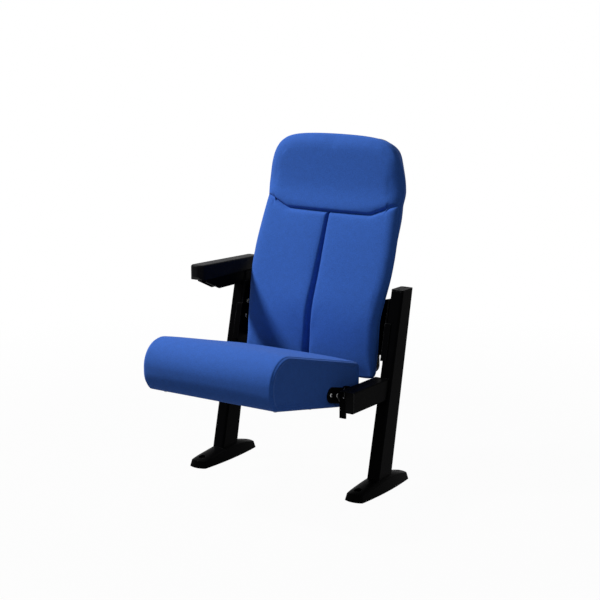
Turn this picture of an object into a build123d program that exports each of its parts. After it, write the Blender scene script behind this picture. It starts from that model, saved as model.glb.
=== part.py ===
from build123d import *
import math
import os

# Tip-up auditorium seat for one place in a row.
# Millimetres, +Z up, the sitter faces -Y, +X is the sitter's left.
# The origin lies on the floor, in the middle of the four floor holes.
# "right" is the side at +X and "left" the side at -X, as seen from the front.

# ---- frame: feet, uprights and seat arms ----
LEG_SPACING = 560.0         # centre to centre of the two uprights
LEG_LEAN = 12.5             # backward lean of the uprights, degrees
TUBE_WIDTH = 40.0           # upright tube, across the seat
TUBE_DEPTH = 60.0           # upright tube, front to back, at its top
FLARE_FRONT = 8.0           # how much deeper the tube is at the floor, in front ...
FLARE_REAR = 11.0           # ... and behind
TUBE_WALL = 2.0
TUBE_CORNER = 7.0
UPRIGHT_TOP = 571.0         # height of the sawn top of the uprights
TOP_PLATE = 4.0             # thickness of the plate welded on each upright
TOP_HOLE_SPACING = 36.0     # the two tapped holes in each top plate
TOP_HOLE_R = 3.4

FOOT_LENGTH = 278.0
FOOT_FRONT_WIDTH = 60.0
FOOT_MIDDLE_WIDTH = 71.0
FOOT_REAR_WIDTH = 50.0
FOOT_TOE_BULGE = 9.0        # how far the toe edge bows forward
FOOT_DRAFT = 12.0           # inward slope of the foot's sides, degrees
FOOT_SPINE = (              # height of the ridge at shares of the foot's length from its middle
    (-0.53, 16.0), (-0.42, 27.0), (-0.22, 35.5), (0.0, 42.0), (0.22, 40.0), (0.40, 29.0), (0.53, 19.0),
)
FOOT_SPINE_DROP = 0.62      # how low the top lies at the sides, share of the spine
FOOT_CORNER = 6.0
FOOT_RIDGE = 2.5            # rounding between the foot's sides and its top
FOOT_SOCKET = 8.0           # floor left under the upright
FLOOR_HOLE_SPACING = 216.0  # front to back, in each foot
FLOOR_HOLE_R = 5.5
FLOOR_SEAT_R = 11.0         # flat turned for the bolt head
FLOOR_SEAT_HEIGHT = 15.0

ARM_WIDTH = 26.0
ARM_BOTTOM = 264.0
ARM_HEIGHT = 61.0
ARM_NOSE_Y = -156.0
ARM_WALL = 2.5
CAP_THICKNESS = 3.0         # plastic plug in the arm's open nose
CAP_PLUG = 12.0
CAP_EDGE = 1.2

# ---- armrest, on the left upright only ----
PAD_WIDTH = 46.0
PAD_FRONT_Y = -132.0
PAD_LENGTH = 304.0
PAD_HEIGHT = 46.0           # thickness at the nose
PAD_FALL = 10.0             # how much thinner the pad is at its tail
PAD_NOSE_R = 19.0
PAD_TAIL_R = 12.0
PAD_CHIN = 11.0             # bevel under the nose
PAD_EDGE = 6.0
BRACE_WIDTH = 32.0          # steel channel under the pad, open downwards
BRACE_SHEET = 4.0
BRACE_DEPTH = 38.0
BRACE_NECK = 9.0            # its depth at the front end
BRACE_FRONT_GAP = 36.0      # from the pad's nose back to the channel
BRACE_SLANT = 64.0          # length of its rising lower edge
PAD_SCREW_R = 2.5
PAD_SCREW_LENGTH = 16.0
PAD_SCREW_HEAD_R = 5.0
PAD_SCREW_HEAD = 2.2
TOP_BOLT_HEAD = 4.0

# ---- back ----
BACK_BOTTOM = 312.0
BACK_TOP = 1000.0
BACK_HALF = 245.0           # half the width across the lower panels
BACK_FOOT_HALF = 231.0      # half the width at the bottom edge
BACK_WAIST_HALF = 232.0     # half the width at the head seam
BACK_HEAD_HALF = 236.0      # half the width across the head panel
BACK_CROWN = 11.0           # how far the edges lie behind the middle, low down
BACK_SIDE_R = 20.0          # soft front corner of every section
BACK_LUMBAR_Z = 486.0       # height at which the back bends rearward
BACK_FRONT_Y = 37.0         # front face at the bottom edge
BACK_LOW_SLOPE = 0.05       # rearward run per unit of height, low part
BACK_HIGH_SLOPE = 0.362     # the same above the bend
BACK_FOAM = 52.0            # foam and cover, front face to board
BACK_BEND_R = 300.0
BACK_TOP_CORNER = 146.0     # how far the top corners are cut in, along the top
BACK_TOP_ROLL = 27.0        # how far the front rolls rearward at the top edge
BACK_HEAD_LEAN = 33.0       # how far the head panel stands forward near its top
BACK_SIDE_DRAW = 3.0        # how far the sides pull in at the rear, low down ...
BACK_HEAD_DRAW = 20.0       # ... and how much more around the head
BACK_DRAW_START = 0.76      # share of the height at which that begins
BACK_DRAW_RUN = 0.18
SEAM_DEPTH = 7.0
SEAM_WIDTH = 5.0
HEAD_SEAM_Z = 775.0         # flat middle stretch of the head seam
HEAD_SEAM_HALF = 148.0
HEAD_SEAM_RISE = 33.0       # its ends climb this much ...
HEAD_SEAM_END = 226.0       # ... by this distance from the middle
BOARD_THICKNESS = 9.0
BOARD_INSET = 22.0
SHELL_WALL = 4.0
SHELL_INSET = 9.0
SHELL_TOP_INSET = 14.0
SHELL_CORNER = 110.0
SHELL_LOW_CORNER = 26.0
SHELL_HEAD_DRAW = 38.0      # how much narrower board and shell are than the head
SHELL_SCREW_R = 2.5
SHELL_SCREW_HEAD = 5.0

BRACKET_THICKNESS = 4.0     # steel angle that carries the back
BRACKET_BOTTOM = 372.0
BRACKET_TOP = 545.0
BRACKET_SLANT = 22.0        # how much lower its top lies at the inner end
BRACKET_REACH = 84.0        # how far it runs inward behind the shell
BRACKET_EDGE = 16.0         # from its inner edge to the bolts through the board
BRACKET_LIP = 15.0          # lip folded over the upright's front face
BRACKET_LIP_TOP = 479.0
BRACKET_LIP_THICKNESS = 2.5
BRACKET_BOLT_R = 4.0
BRACKET_BOLT_SPACING = 44.0
BRACKET_BOARD_Z = 413.0     # middle of the bolts through the board

# ---- seat ----
HINGE_ROOM = 49.0           # from the seat's side to the arm, for hinge and spring
SEAT_REAR_Y = -8.0
SEAT_FRONT_Y = -448.0
SEAT_REAR_BOTTOM = 244.0
SEAT_REAR_TOP = 372.0
SEAT_BOTTOM_PITCH = 10.6    # underside, rising to the front, degrees
SEAT_TOP_PITCH = 14.0
SEAT_NOSE_R = 74.0
SEAT_CHIN_R = 68.0
SEAT_TRIM = 8.0             # the flat underside cuts this much off the round chin
SEAT_CHIN = 32.0            # from the front to where the underside starts
SEAT_BACK_TOP_R = 20.0
SEAT_BACK_LOW_R = 8.0
SEAT_CROWN = 12.5
SEAT_EDGE_ROLL = 2.5        # rounding where the side panels are sewn in
SIDE_SEAM_HEIGHT = 17.0     # sewn line along each side, above the underside
SIDE_SEAM_DEPTH = 2.0
SIDE_SEAM_WIDTH = 3.0
SEAT_BOARD = 12.0
SEAT_BOARD_INSET = 10.0     # from the seat's side to the board
SEAT_BOARD_MARGIN = 24.0    # foam left in front of and behind the board
CHEEK_THICKNESS = 14.0      # hardwood cheek that takes the hinge screws
CHEEK_HEIGHT = 72.0
CHEEK_FRONT_Y = -214.0
CHEEK_REAR_Y = -36.0
COVER_THICKNESS = 2.5
COVER_INSET = 5.0           # from the board's edge to the cover's
COVER_SCREW_INSET = 14.0
COVER_MARGIN = 30.0

# ---- hinge, one at each side ----
PIVOT_Y = -100.0
PIVOT_Z = 292.0
TIP_UP_ANGLE = 78.0
CLEARANCE = 0.3             # gap left between parts that move past each other
RUNNING_GAP = 0.05          # radial gap of the bush on its pin
PLATE_THICKNESS = 5.0
PLATE_HEIGHT = 45.0
PLATE_PITCH = 13.5
PLATE_RISE = 4.0            # the plate's middle line passes above the pivot
PLATE_FRONT_REACH = 57.0
PLATE_REAR_REACH = 42.0
PLATE_SCREW_FRONT = (66.0, 33.0)
PLATE_SCREW_REAR = 40.0
PLATE_SCREW_R = 3.0
PLATE_SCREW_HEAD_R = 5.5
PLATE_SCREW_HEAD = 2.8
PIN_R = 8.0
BUSH_WALL = 2.5
HUB_WALL = 3.5
FLANGE_THICKNESS = 2.0
STOP_DISC_R = 33.0
STOP_DISC_THICKNESS = 8.0
STOP_DISC_GAP = 4.5         # from the hinge plate to the disc
STOP_PIN_R = 5.0
STOP_PIN_RADIUS = 25.0      # from the pivot to the stop pin
STOP_PIN_ANGLE = 180.0      # straight ahead of the pivot
STOP_RUBBER = 2.0
SPRING_WIRE_R = 1.7
SPRING_GAP = 0.7            # from the coil to the hub
SPRING_TURNS = 4.75
SPRING_PITCH = 4.4
SPRING_TAIL = 31.0
SPRING_START_ANGLE = 180.0
PEG_R = 3.0
PEG_ALONG_TAIL = 27.0
ANCHOR_WIDTH = 20.0
ANCHOR_THICKNESS = 5.0
ANCHOR_BOTTOM = 247.5
ANCHOR_FLANGE = 3.0         # thickness of its flange along the top of the arm
ANCHOR_SLOT = 4.6

# ---- worked out from the values above ----
LEG_X = LEG_SPACING / 2
LEAN = math.tan(math.radians(LEG_LEAN))
LEVEL_DEPTH = TUBE_DEPTH / math.cos(math.radians(LEG_LEAN))
INNER_FACE = LEG_X - TUBE_WIDTH / 2
ARM_INNER = LEG_X - ARM_WIDTH / 2
ARM_OUTER = LEG_X + ARM_WIDTH / 2
SEAT_HALF = ARM_INNER - HINGE_ROOM
SEAT_BOARD_HALF = SEAT_HALF - SEAT_BOARD_INSET
COVER_HALF = SEAT_BOARD_HALF - COVER_INSET
ARM_TOP = ARM_BOTTOM + ARM_HEIGHT
BUSH_R = PIN_R + RUNNING_GAP + BUSH_WALL
HUB_R = BUSH_R + HUB_WALL
PLATE_X = SEAT_HALF + CLEARANCE
PLATE_FACE = PLATE_X + PLATE_THICKNESS
HUB_END = ARM_INNER - CLEARANCE - FLANGE_THICKNESS
DISC_X = PLATE_FACE + STOP_DISC_GAP
DISC_END = DISC_X + STOP_DISC_THICKNESS
SPRING_R = HUB_R + SPRING_GAP + SPRING_WIRE_R
SPRING_X = DISC_END + SPRING_WIRE_R + 1.3
TOP_Y = UPRIGHT_TOP * LEAN
BRACE_Z = UPRIGHT_TOP + TOP_PLATE
PAD_Z = BRACE_Z + BRACE_SHEET

nodes = {}


# ---- shared shapes ----
def rod_x(radius, x_from, x_to, y, z):
    """A round bar along X."""
    bar = Cylinder(radius, x_to - x_from, align=(Align.CENTER, Align.CENTER, Align.MIN))
    return Pos(x_from, y, z) * Rot(0, 90, 0) * bar


def rod_z(radius, x, y, z_from, z_to):
    """A round bar along Z."""
    bar = Cylinder(radius, z_to - z_from, align=(Align.CENTER, Align.CENTER, Align.MIN))
    return Pos(x, y, z_from) * bar


def tube_x(outer, inner, x_from, x_to, y, z):
    """A sleeve along X."""
    return rod_x(outer, x_from, x_to, y, z) - rod_x(inner, x_from, x_to, y, z)


def side_slab(face, x_from, x_to):
    """Carries a face drawn in (Y, Z) from one X to another."""
    return extrude(Plane.YZ.offset(x_from) * face, amount=x_to - x_from)


def front_slab(face, y_from, y_to):
    """Carries a face drawn in (X, Z) from one Y to another."""
    plane = Plane(origin=(0, y_from, 0), x_dir=(1, 0, 0), z_dir=(0, -1, 0))
    return extrude(plane * face, amount=y_from - y_to)


def slab(z_from, z_to, reach=2000.0):
    """Everything between two heights."""
    return Pos(0, 0, (z_from + z_to) / 2) * Box(reach, reach, z_to - z_from)


def polygon(points):
    """A face with straight sides."""
    return make_face(Polyline(*points, close=True))


def put_pair(name, shape):
    """Stores a right-hand piece and its mirror image at the left."""
    nodes["right_" + name] = shape
    nodes["left_" + name] = mirror(shape, about=Plane.YZ)


# ---- feet and uprights ----
def foot_outline(inset):
    """Plan of the foot: bowed toe, swelling sides, square heel."""
    half = FOOT_LENGTH / 2 - inset
    front = FOOT_FRONT_WIDTH / 2 - inset
    middle = FOOT_MIDDLE_WIDTH / 2 - inset
    rear = FOOT_REAR_WIDTH / 2 - inset
    toe_y = -half + FOOT_TOE_BULGE
    toe = ThreePointArc((-front, toe_y), (0, -half), (front, toe_y))
    right = ThreePointArc((front, toe_y), (middle, 0), (rear, half))
    heel = Line((rear, half), (-rear, half))
    left = ThreePointArc((-rear, half), (-middle, 0), (-front, toe_y))
    face = make_face([toe, right, heel, left])
    return fillet(face.vertices(), FOOT_CORNER)


def upright_front(z):
    """Y of the upright's front face at a height."""
    return z * LEAN - LEVEL_DEPTH / 2 - FLARE_FRONT * (1 - z / UPRIGHT_TOP)


def upright_rear(z):
    """Y of the upright's rear face at a height."""
    return z * LEAN + LEVEL_DEPTH / 2 + FLARE_REAR * (1 - z / UPRIGHT_TOP)


def upright_block(margin=0.0):
    """The tapering upright as a solid bar, longer than needed at both ends."""
    sections = []
    for z in (-0.2 * UPRIGHT_TOP, 1.2 * UPRIGHT_TOP):
        depth = upright_rear(z) - upright_front(z) + 2 * margin
        middle = (upright_rear(z) + upright_front(z)) / 2
        plan = RectangleRounded(TUBE_WIDTH + 2 * margin, depth, TUBE_CORNER + margin)
        sections.append(Pos(LEG_X, middle, z) * plan)
    return loft(sections)


def make_feet():
    """Cast foot with a crowned top, a socket for the upright and two floor holes."""
    tall = FOOT_MIDDLE_WIDTH
    inset = tall * math.tan(math.radians(FOOT_DRAFT))
    body = loft([Pos(LEG_X, 0, 0) * foot_outline(0), Pos(LEG_X, 0, tall) * foot_outline(inset)])
    top = []
    for share, height in FOOT_SPINE:
        low = height * (1 - FOOT_SPINE_DROP)
        side = FOOT_MIDDLE_WIDTH * 0.6
        crest = ThreePointArc((-side, low), (0, height), (side, low))
        walls = Polyline((side, low), (side, -10), (-side, -10), (-side, low))
        plane = Plane(origin=(LEG_X, share * FOOT_LENGTH, 0), x_dir=(1, 0, 0), z_dir=(0, -1, 0))
        top.append(plane * make_face([crest, walls]))
    body = body & loft(top)
    ridge = body.edges().filter_by(lambda edge: edge.bounding_box().min.Z > 5)
    body = fillet(ridge, FOOT_RIDGE)
    body -= upright_block() & slab(FOOT_SOCKET, tall)
    for side in (-1, 1):
        y = side * FLOOR_HOLE_SPACING / 2
        body -= rod_z(FLOOR_HOLE_R, LEG_X, y, -1.0, tall)
        body -= rod_z(FLOOR_SEAT_R, LEG_X, y, FLOOR_SEAT_HEIGHT, tall)
    put_pair("foot", body)


def make_uprights():
    """Leaning rectangular tube, sawn level at both ends, with a welded top plate."""
    tube = (upright_block() - upright_block(-TUBE_WALL)) & slab(FOOT_SOCKET, UPRIGHT_TOP)
    for y, z in bracket_tube_bolts():
        tube -= rod_x(BRACKET_BOLT_R, INNER_FACE - 1, INNER_FACE + TUBE_WALL + 1, y, z)
    put_pair("upright", tube)
    plan = Pos(LEG_X, TOP_Y) * RectangleRounded(TUBE_WIDTH, LEVEL_DEPTH, TUBE_CORNER)
    plate = extrude(Pos(0, 0, UPRIGHT_TOP) * plan, amount=TOP_PLATE)
    for side in (-1, 1):
        y = TOP_Y + side * TOP_HOLE_SPACING / 2
        plate -= rod_z(TOP_HOLE_R, LEG_X, y, UPRIGHT_TOP - 1, BRACE_Z + 1)
    put_pair("top_plate", plate)


def make_seat_arms():
    """Box arm welded to the front of the upright, with a plastic plug in its nose."""
    tube_y = ARM_NOSE_Y + CAP_THICKNESS
    length = PIVOT_Y * -1 + ARM_TOP * LEAN - tube_y
    middle = (LEG_X, tube_y + length / 2, ARM_BOTTOM + ARM_HEIGHT / 2)
    arm = Pos(*middle) * Box(ARM_WIDTH, length, ARM_HEIGHT)
    arm = fillet(arm.edges().filter_by(Axis.Y), ARM_WALL + 1.0)
    hollow = Pos(*middle) * Box(ARM_WIDTH - 2 * ARM_WALL, length + 2, ARM_HEIGHT - 2 * ARM_WALL)
    arm = arm - hollow - upright_block()
    arm = arm.solids().sort_by(Axis.Y)[0]
    arm -= rod_x(PIN_R, ARM_INNER - 1, ARM_OUTER + 1, PIVOT_Y, PIVOT_Z)
    stop_y, stop_z = stop_pin_place()
    arm -= rod_x(STOP_PIN_R, ARM_INNER - 1, ARM_INNER + ARM_WALL + 1, stop_y, stop_z)
    put_pair("seat_arm", arm)
    face = Pos(LEG_X, ARM_NOSE_Y + CAP_THICKNESS / 2, middle[2]) * Box(ARM_WIDTH, CAP_THICKNESS, ARM_HEIGHT)
    face = fillet(face.edges().filter_by(Axis.Y), ARM_WALL + 1.0)
    face = fillet(face.faces().sort_by(Axis.Y)[0].edges(), CAP_EDGE)
    plug_width = ARM_WIDTH - 2 * ARM_WALL - CLEARANCE
    plug_height = ARM_HEIGHT - 2 * ARM_WALL - CLEARANCE
    plug = Pos(LEG_X, tube_y + CAP_PLUG / 2, middle[2]) * Box(plug_width, CAP_PLUG, plug_height)
    put_pair("arm_nose_cap", face + plug)


# ---- armrest ----
def pad_top(y):
    """Height of the pad's top face, which falls slightly to the rear."""
    return PAD_Z + PAD_HEIGHT - PAD_FALL * (y - PAD_FRONT_Y) / PAD_LENGTH


def make_armrest():
    """Moulded pad on a steel channel that is bolted to the left upright's top plate."""
    rear_y = PAD_FRONT_Y + PAD_LENGTH
    plan = Pos(-LEG_X, PAD_FRONT_Y + PAD_LENGTH / 2) * Rectangle(PAD_WIDTH, PAD_LENGTH)
    plan = fillet(plan.vertices().sort_by(Axis.Y)[0:2], PAD_NOSE_R)
    plan = fillet(plan.vertices().sort_by(Axis.Y)[-2:], PAD_TAIL_R)
    block = extrude(Pos(0, 0, PAD_Z) * plan, amount=2 * PAD_HEIGHT)
    side = polygon([
        (PAD_FRONT_Y + PAD_CHIN, PAD_Z), (rear_y + PAD_CHIN, PAD_Z),
        (rear_y + PAD_CHIN, pad_top(rear_y + PAD_CHIN)),
        (PAD_FRONT_Y - PAD_CHIN, pad_top(PAD_FRONT_Y - PAD_CHIN)),
        (PAD_FRONT_Y - PAD_CHIN, PAD_Z + 2 * PAD_CHIN),
    ])
    pad = block & side_slab(side, -LEG_X - PAD_WIDTH, -LEG_X + PAD_WIDTH)
    pad = fillet(pad.faces().sort_by(Axis.Z)[-1].edges(), PAD_EDGE)
    plate_front = upright_front(UPRIGHT_TOP)
    plate_rear = 2 * TOP_Y - plate_front
    front = PAD_FRONT_Y + BRACE_FRONT_GAP
    low = PAD_Z - BRACE_DEPTH
    flange = polygon([
        (front, PAD_Z), (front, PAD_Z - BRACE_NECK), (front + BRACE_SLANT, low),
        (upright_front(low), low), (plate_front, UPRIGHT_TOP), (plate_front, BRACE_Z),
        (plate_rear, BRACE_Z), (plate_rear, PAD_Z),
    ])
    half = BRACE_WIDTH / 2
    brace = side_slab(flange, -LEG_X - half, -LEG_X + half)
    inside = half - BRACE_SHEET
    room = Pos(-LEG_X, 0, BRACE_Z - BRACE_DEPTH) * Box(2 * inside, 4 * PAD_LENGTH, 2 * BRACE_DEPTH)
    brace -= room
    bolts = []
    for end in (-1, 1):
        y = TOP_Y + end * TOP_HOLE_SPACING / 2
        brace -= rod_z(TOP_HOLE_R, -LEG_X, y, BRACE_Z - 1, PAD_Z + 1)
        pad -= rod_z(2 * TOP_HOLE_R, -LEG_X, y, PAD_Z - 1, PAD_Z + TOP_BOLT_HEAD)
        shank = rod_z(TOP_HOLE_R, -LEG_X, y, UPRIGHT_TOP - TOP_BOLT_HEAD, PAD_Z)
        bolts.append(shank + rod_z(2 * TOP_HOLE_R, -LEG_X, y, PAD_Z, PAD_Z + TOP_BOLT_HEAD))
    screws = []
    for share in (0.12, 0.50, 0.86):
        y = front + share * (plate_front - front)
        hole = rod_z(PAD_SCREW_R, -LEG_X, y, BRACE_Z, PAD_Z + PAD_SCREW_LENGTH)
        brace -= hole
        pad -= hole
        head = rod_z(PAD_SCREW_HEAD_R, -LEG_X, y, BRACE_Z - PAD_SCREW_HEAD, BRACE_Z)
        screws.append(hole + fillet(head.faces().sort_by(Axis.Z)[0].edges(), 0.5 * PAD_SCREW_HEAD))
    nodes["armrest_pad"] = pad
    nodes["armrest_brace"] = brace
    nodes["armrest_brace_bolts"] = Compound(children=bolts)
    nodes["armrest_pad_screws"] = Compound(children=screws)


# ---- back ----
def back_front(z):
    """Y of the middle of the back's front face: near upright, then reclined."""
    low = BACK_FRONT_Y + (z - BACK_BOTTOM) * BACK_LOW_SLOPE
    return low + max(0.0, z - BACK_LUMBAR_Z) * (BACK_HIGH_SLOPE - BACK_LOW_SLOPE)


def back_line(offset):
    """Side view of the board line, moved rearward by an offset."""
    start_z = BACK_BOTTOM - 20
    end_z = BACK_TOP + 20
    shift = BACK_FOAM + offset
    points = [(back_front(z) + shift, z) for z in (start_z, BACK_LUMBAR_Z, end_z)]
    return points


def rear_band(near, far):
    """Solid between two copies of the board line, across the whole width."""
    inner = back_line(near)
    outer = back_line(far)
    radius = BACK_BEND_R
    first = FilletPolyline(*inner, radius=radius)
    second = FilletPolyline(*outer, radius=radius)
    low = Line(inner[0], outer[0])
    high = Line(inner[-1], outer[-1])
    face = make_face([first, high, second, low])
    return side_slab(face, -BACK_HALF - 20, BACK_HALF + 20)


def panel_outline(inset):
    """Front view of the board or shell: straight sides, rounded corners."""
    half = BACK_HEAD_HALF - SHELL_HEAD_DRAW - inset
    low_half = BACK_FOOT_HALF - inset
    bottom = BACK_BOTTOM + inset * 0.5
    top = BACK_TOP - SHELL_TOP_INSET + SHELL_INSET - inset
    face = polygon([(-low_half, bottom), (low_half, bottom), (half, top), (-half, top)])
    by_height = face.vertices().sort_by(Axis.Y)
    face = fillet(by_height[0:2], SHELL_LOW_CORNER)
    return fillet(face.vertices().sort_by(Axis.Y)[-2:], SHELL_CORNER - inset)


def back_section(z, half, near, far, crown, draw):
    """Level section of the cushion: bowed front, soft corners, flat rear."""
    corner = min(BACK_SIDE_R, (far - near) * 0.45)
    edge = half - corner
    slope = near + crown
    middle = 0.7071 * corner
    bow = ThreePointArc((-edge, slope), (0, near), (edge, slope))
    right = ThreePointArc((edge, slope), (edge + middle, slope + corner - middle), (half, slope + corner))
    right_side = Line((half, slope + corner), (half - draw, far))
    rear = Line((half - draw, far), (draw - half, far))
    left_side = Line((draw - half, far), (-half, slope + corner))
    left = ThreePointArc((-half, slope + corner), (-edge - middle, slope + corner - middle), (-edge, slope))
    return Pos(0, 0, z) * make_face([bow, right, right_side, rear, left_side, left])


def back_form():
    """Lofted foam body of the back, before its seams are sewn in."""
    height = BACK_TOP - BACK_BOTTOM
    lean = BACK_HEAD_LEAN
    corner = BACK_TOP_CORNER
    roll = BACK_TOP_ROLL
    rows = (
        # share of height, half width, front set back, crown
        (0.000, BACK_FOOT_HALF - 10, 16.0, BACK_CROWN * 0.6),
        (0.020, BACK_FOOT_HALF - 2, 5.0, BACK_CROWN * 0.8),
        (0.070, BACK_FOOT_HALF, 0.0, BACK_CROWN),
        (0.220, BACK_FOOT_HALF + 3, 0.0, BACK_CROWN),
        (0.330, BACK_HALF - 7, BACK_CROWN * 0.3, BACK_CROWN * 0.6),
        (0.500, BACK_HALF, BACK_CROWN * 0.55, BACK_CROWN * 0.2),
        (0.620, BACK_HALF - 5, BACK_CROWN * 0.55, BACK_CROWN * 0.2),
        (0.710, BACK_WAIST_HALF, BACK_CROWN * 0.7, BACK_CROWN * 0.2),
        (0.800, BACK_HEAD_HALF, -0.05 * lean, 1.0),
        (0.880, BACK_HEAD_HALF - 0.07 * corner, -0.53 * lean, 1.0),
        (0.940, BACK_HEAD_HALF - 0.20 * corner, 0.05 * roll - 0.92 * lean, 1.0),
        (0.975, BACK_HEAD_HALF - 0.37 * corner, 0.30 * roll - lean, 1.0),
        (0.994, BACK_HEAD_HALF - 0.71 * corner, 0.72 * roll - lean, 1.0),
        (1.000, BACK_HEAD_HALF - corner, roll - lean, 1.0),
    )
    sections = []
    for share, half, set_back, crown in rows:
        z = BACK_BOTTOM + share * height
        near = back_front(z) + set_back
        far = back_front(z) + BACK_FOAM + 8
        head = min(1.0, max(0.0, (share - BACK_DRAW_START) / BACK_DRAW_RUN))
        draw = BACK_SIDE_DRAW + BACK_HEAD_DRAW * head
        sections.append(back_section(z, half, near, far, crown, draw))
    body = loft(sections)
    return body - rear_band(0, BACK_FOAM)


def seam_strip(start, end):
    """Narrow wall that follows one straight stretch of a seam, seen from the front."""
    run = Vector(*end) - Vector(*start)
    angle = math.degrees(math.atan2(run.Y, run.X))
    middle = (Vector(*start) + Vector(*end)) * 0.5
    face = Pos(middle.X, middle.Y) * Rot(0, 0, angle) * Rectangle(run.length + SEAM_WIDTH, SEAM_WIDTH)
    return front_slab(face, 0, BACK_FRONT_Y + BACK_FOAM + (BACK_TOP - BACK_BOTTOM))


def make_back_cushion():
    """Moulded foam under a sewn cover, with a head seam and a seam down the middle."""
    body = back_form()
    low = HEAD_SEAM_Z
    high = HEAD_SEAM_Z + HEAD_SEAM_RISE
    strips = [
        seam_strip((-HEAD_SEAM_HALF, low), (HEAD_SEAM_HALF, low)),
        seam_strip((HEAD_SEAM_HALF, low), (HEAD_SEAM_END, high)),
        seam_strip((-HEAD_SEAM_END, high), (-HEAD_SEAM_HALF, low)),
        seam_strip((0, BACK_BOTTOM + 4), (0, low)),
    ]
    core = Pos(0, SEAM_DEPTH, 0) * back_form()
    for strip in strips:
        body -= strip - core
    nodes["back_cushion"] = body.solids().sort_by(SortBy.VOLUME)[-1]


def shell_screw_places():
    """Front view places of the screws that hold the rear shell."""
    reach = BACK_HEAD_HALF - SHELL_HEAD_DRAW - 2 * BOARD_INSET
    height = BACK_TOP - BACK_BOTTOM
    rows = [BACK_BOTTOM + share * height for share in (0.05, 0.35, 0.62, 0.87)]
    return [(side * reach, z) for z in rows for side in (-1, 1)]


def bracket_board_bolts():
    """Front view places of the bolts through bracket, shell and board."""
    x = INNER_FACE - BRACKET_REACH + BRACKET_EDGE
    step = BRACKET_BOLT_SPACING / 2
    return [(side * x, BRACKET_BOARD_Z + end * step) for side in (-1, 1) for end in (-1, 1)]


def bracket_tube_bolts():
    """Side view places of the bolts from each bracket into its upright."""
    middle = (BRACKET_BOTTOM + BRACKET_TOP) / 2
    step = BRACKET_BOLT_SPACING / 2
    return [((middle + end * step) * LEAN - 4, middle + end * step) for end in (-1, 1)]


def back_rear_y(z, offset):
    """Y of the board line at a height, moved rearward by an offset."""
    return back_front(z) + BACK_FOAM + offset


def rod_square(radius, x, z, offset, start, end):
    """A round bar square to the board line, measured from that offset behind it."""
    slope = BACK_LOW_SLOPE if z < BACK_LUMBAR_Z else BACK_HIGH_SLOPE
    tilt = math.degrees(math.atan(slope))
    bar = Cylinder(radius, end - start, align=(Align.CENTER, Align.CENTER, Align.MIN))
    return Pos(x, back_rear_y(z, offset), z) * Rot(-90 - tilt, 0, 0) * Pos(0, 0, start) * bar


def make_back_panels():
    """Plywood board behind the foam and a moulded tray that covers it."""
    rear_y = back_rear_y(BACK_TOP, BACK_FOAM)
    board = rear_band(0, BOARD_THICKNESS) & front_slab(panel_outline(BOARD_INSET), 0, rear_y)
    tray = rear_band(0, BOARD_THICKNESS + SHELL_WALL)
    tray = tray & front_slab(panel_outline(SHELL_INSET), 0, rear_y)
    well = rear_band(-5, BOARD_THICKNESS)
    well = well & front_slab(panel_outline(SHELL_INSET + SHELL_WALL), 0, rear_y)
    tray -= well
    screws = []
    outside = BOARD_THICKNESS + SHELL_WALL
    depth = 0.8 * outside
    for x, z in shell_screw_places():
        hole = rod_square(SHELL_SCREW_R, x, z, outside, -depth, 2)
        tray -= hole
        board -= hole
        shank = rod_square(SHELL_SCREW_R, x, z, outside, -depth, 0)
        head = rod_square(SHELL_SCREW_HEAD, x, z, outside, 0, 2.5)
        screws.append(shank + fillet(head.faces().sort_by(Axis.Y)[-1].edges(), 1.4))
    for x, z in bracket_board_bolts():
        hole = rod_square(BRACKET_BOLT_R, x, z, outside + BRACKET_THICKNESS, -depth - BRACKET_THICKNESS, 2)
        tray -= hole
        board -= hole
    nodes["back_board"] = board
    nodes["back_shell"] = tray
    nodes["back_shell_screws"] = Compound(children=screws)


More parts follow.
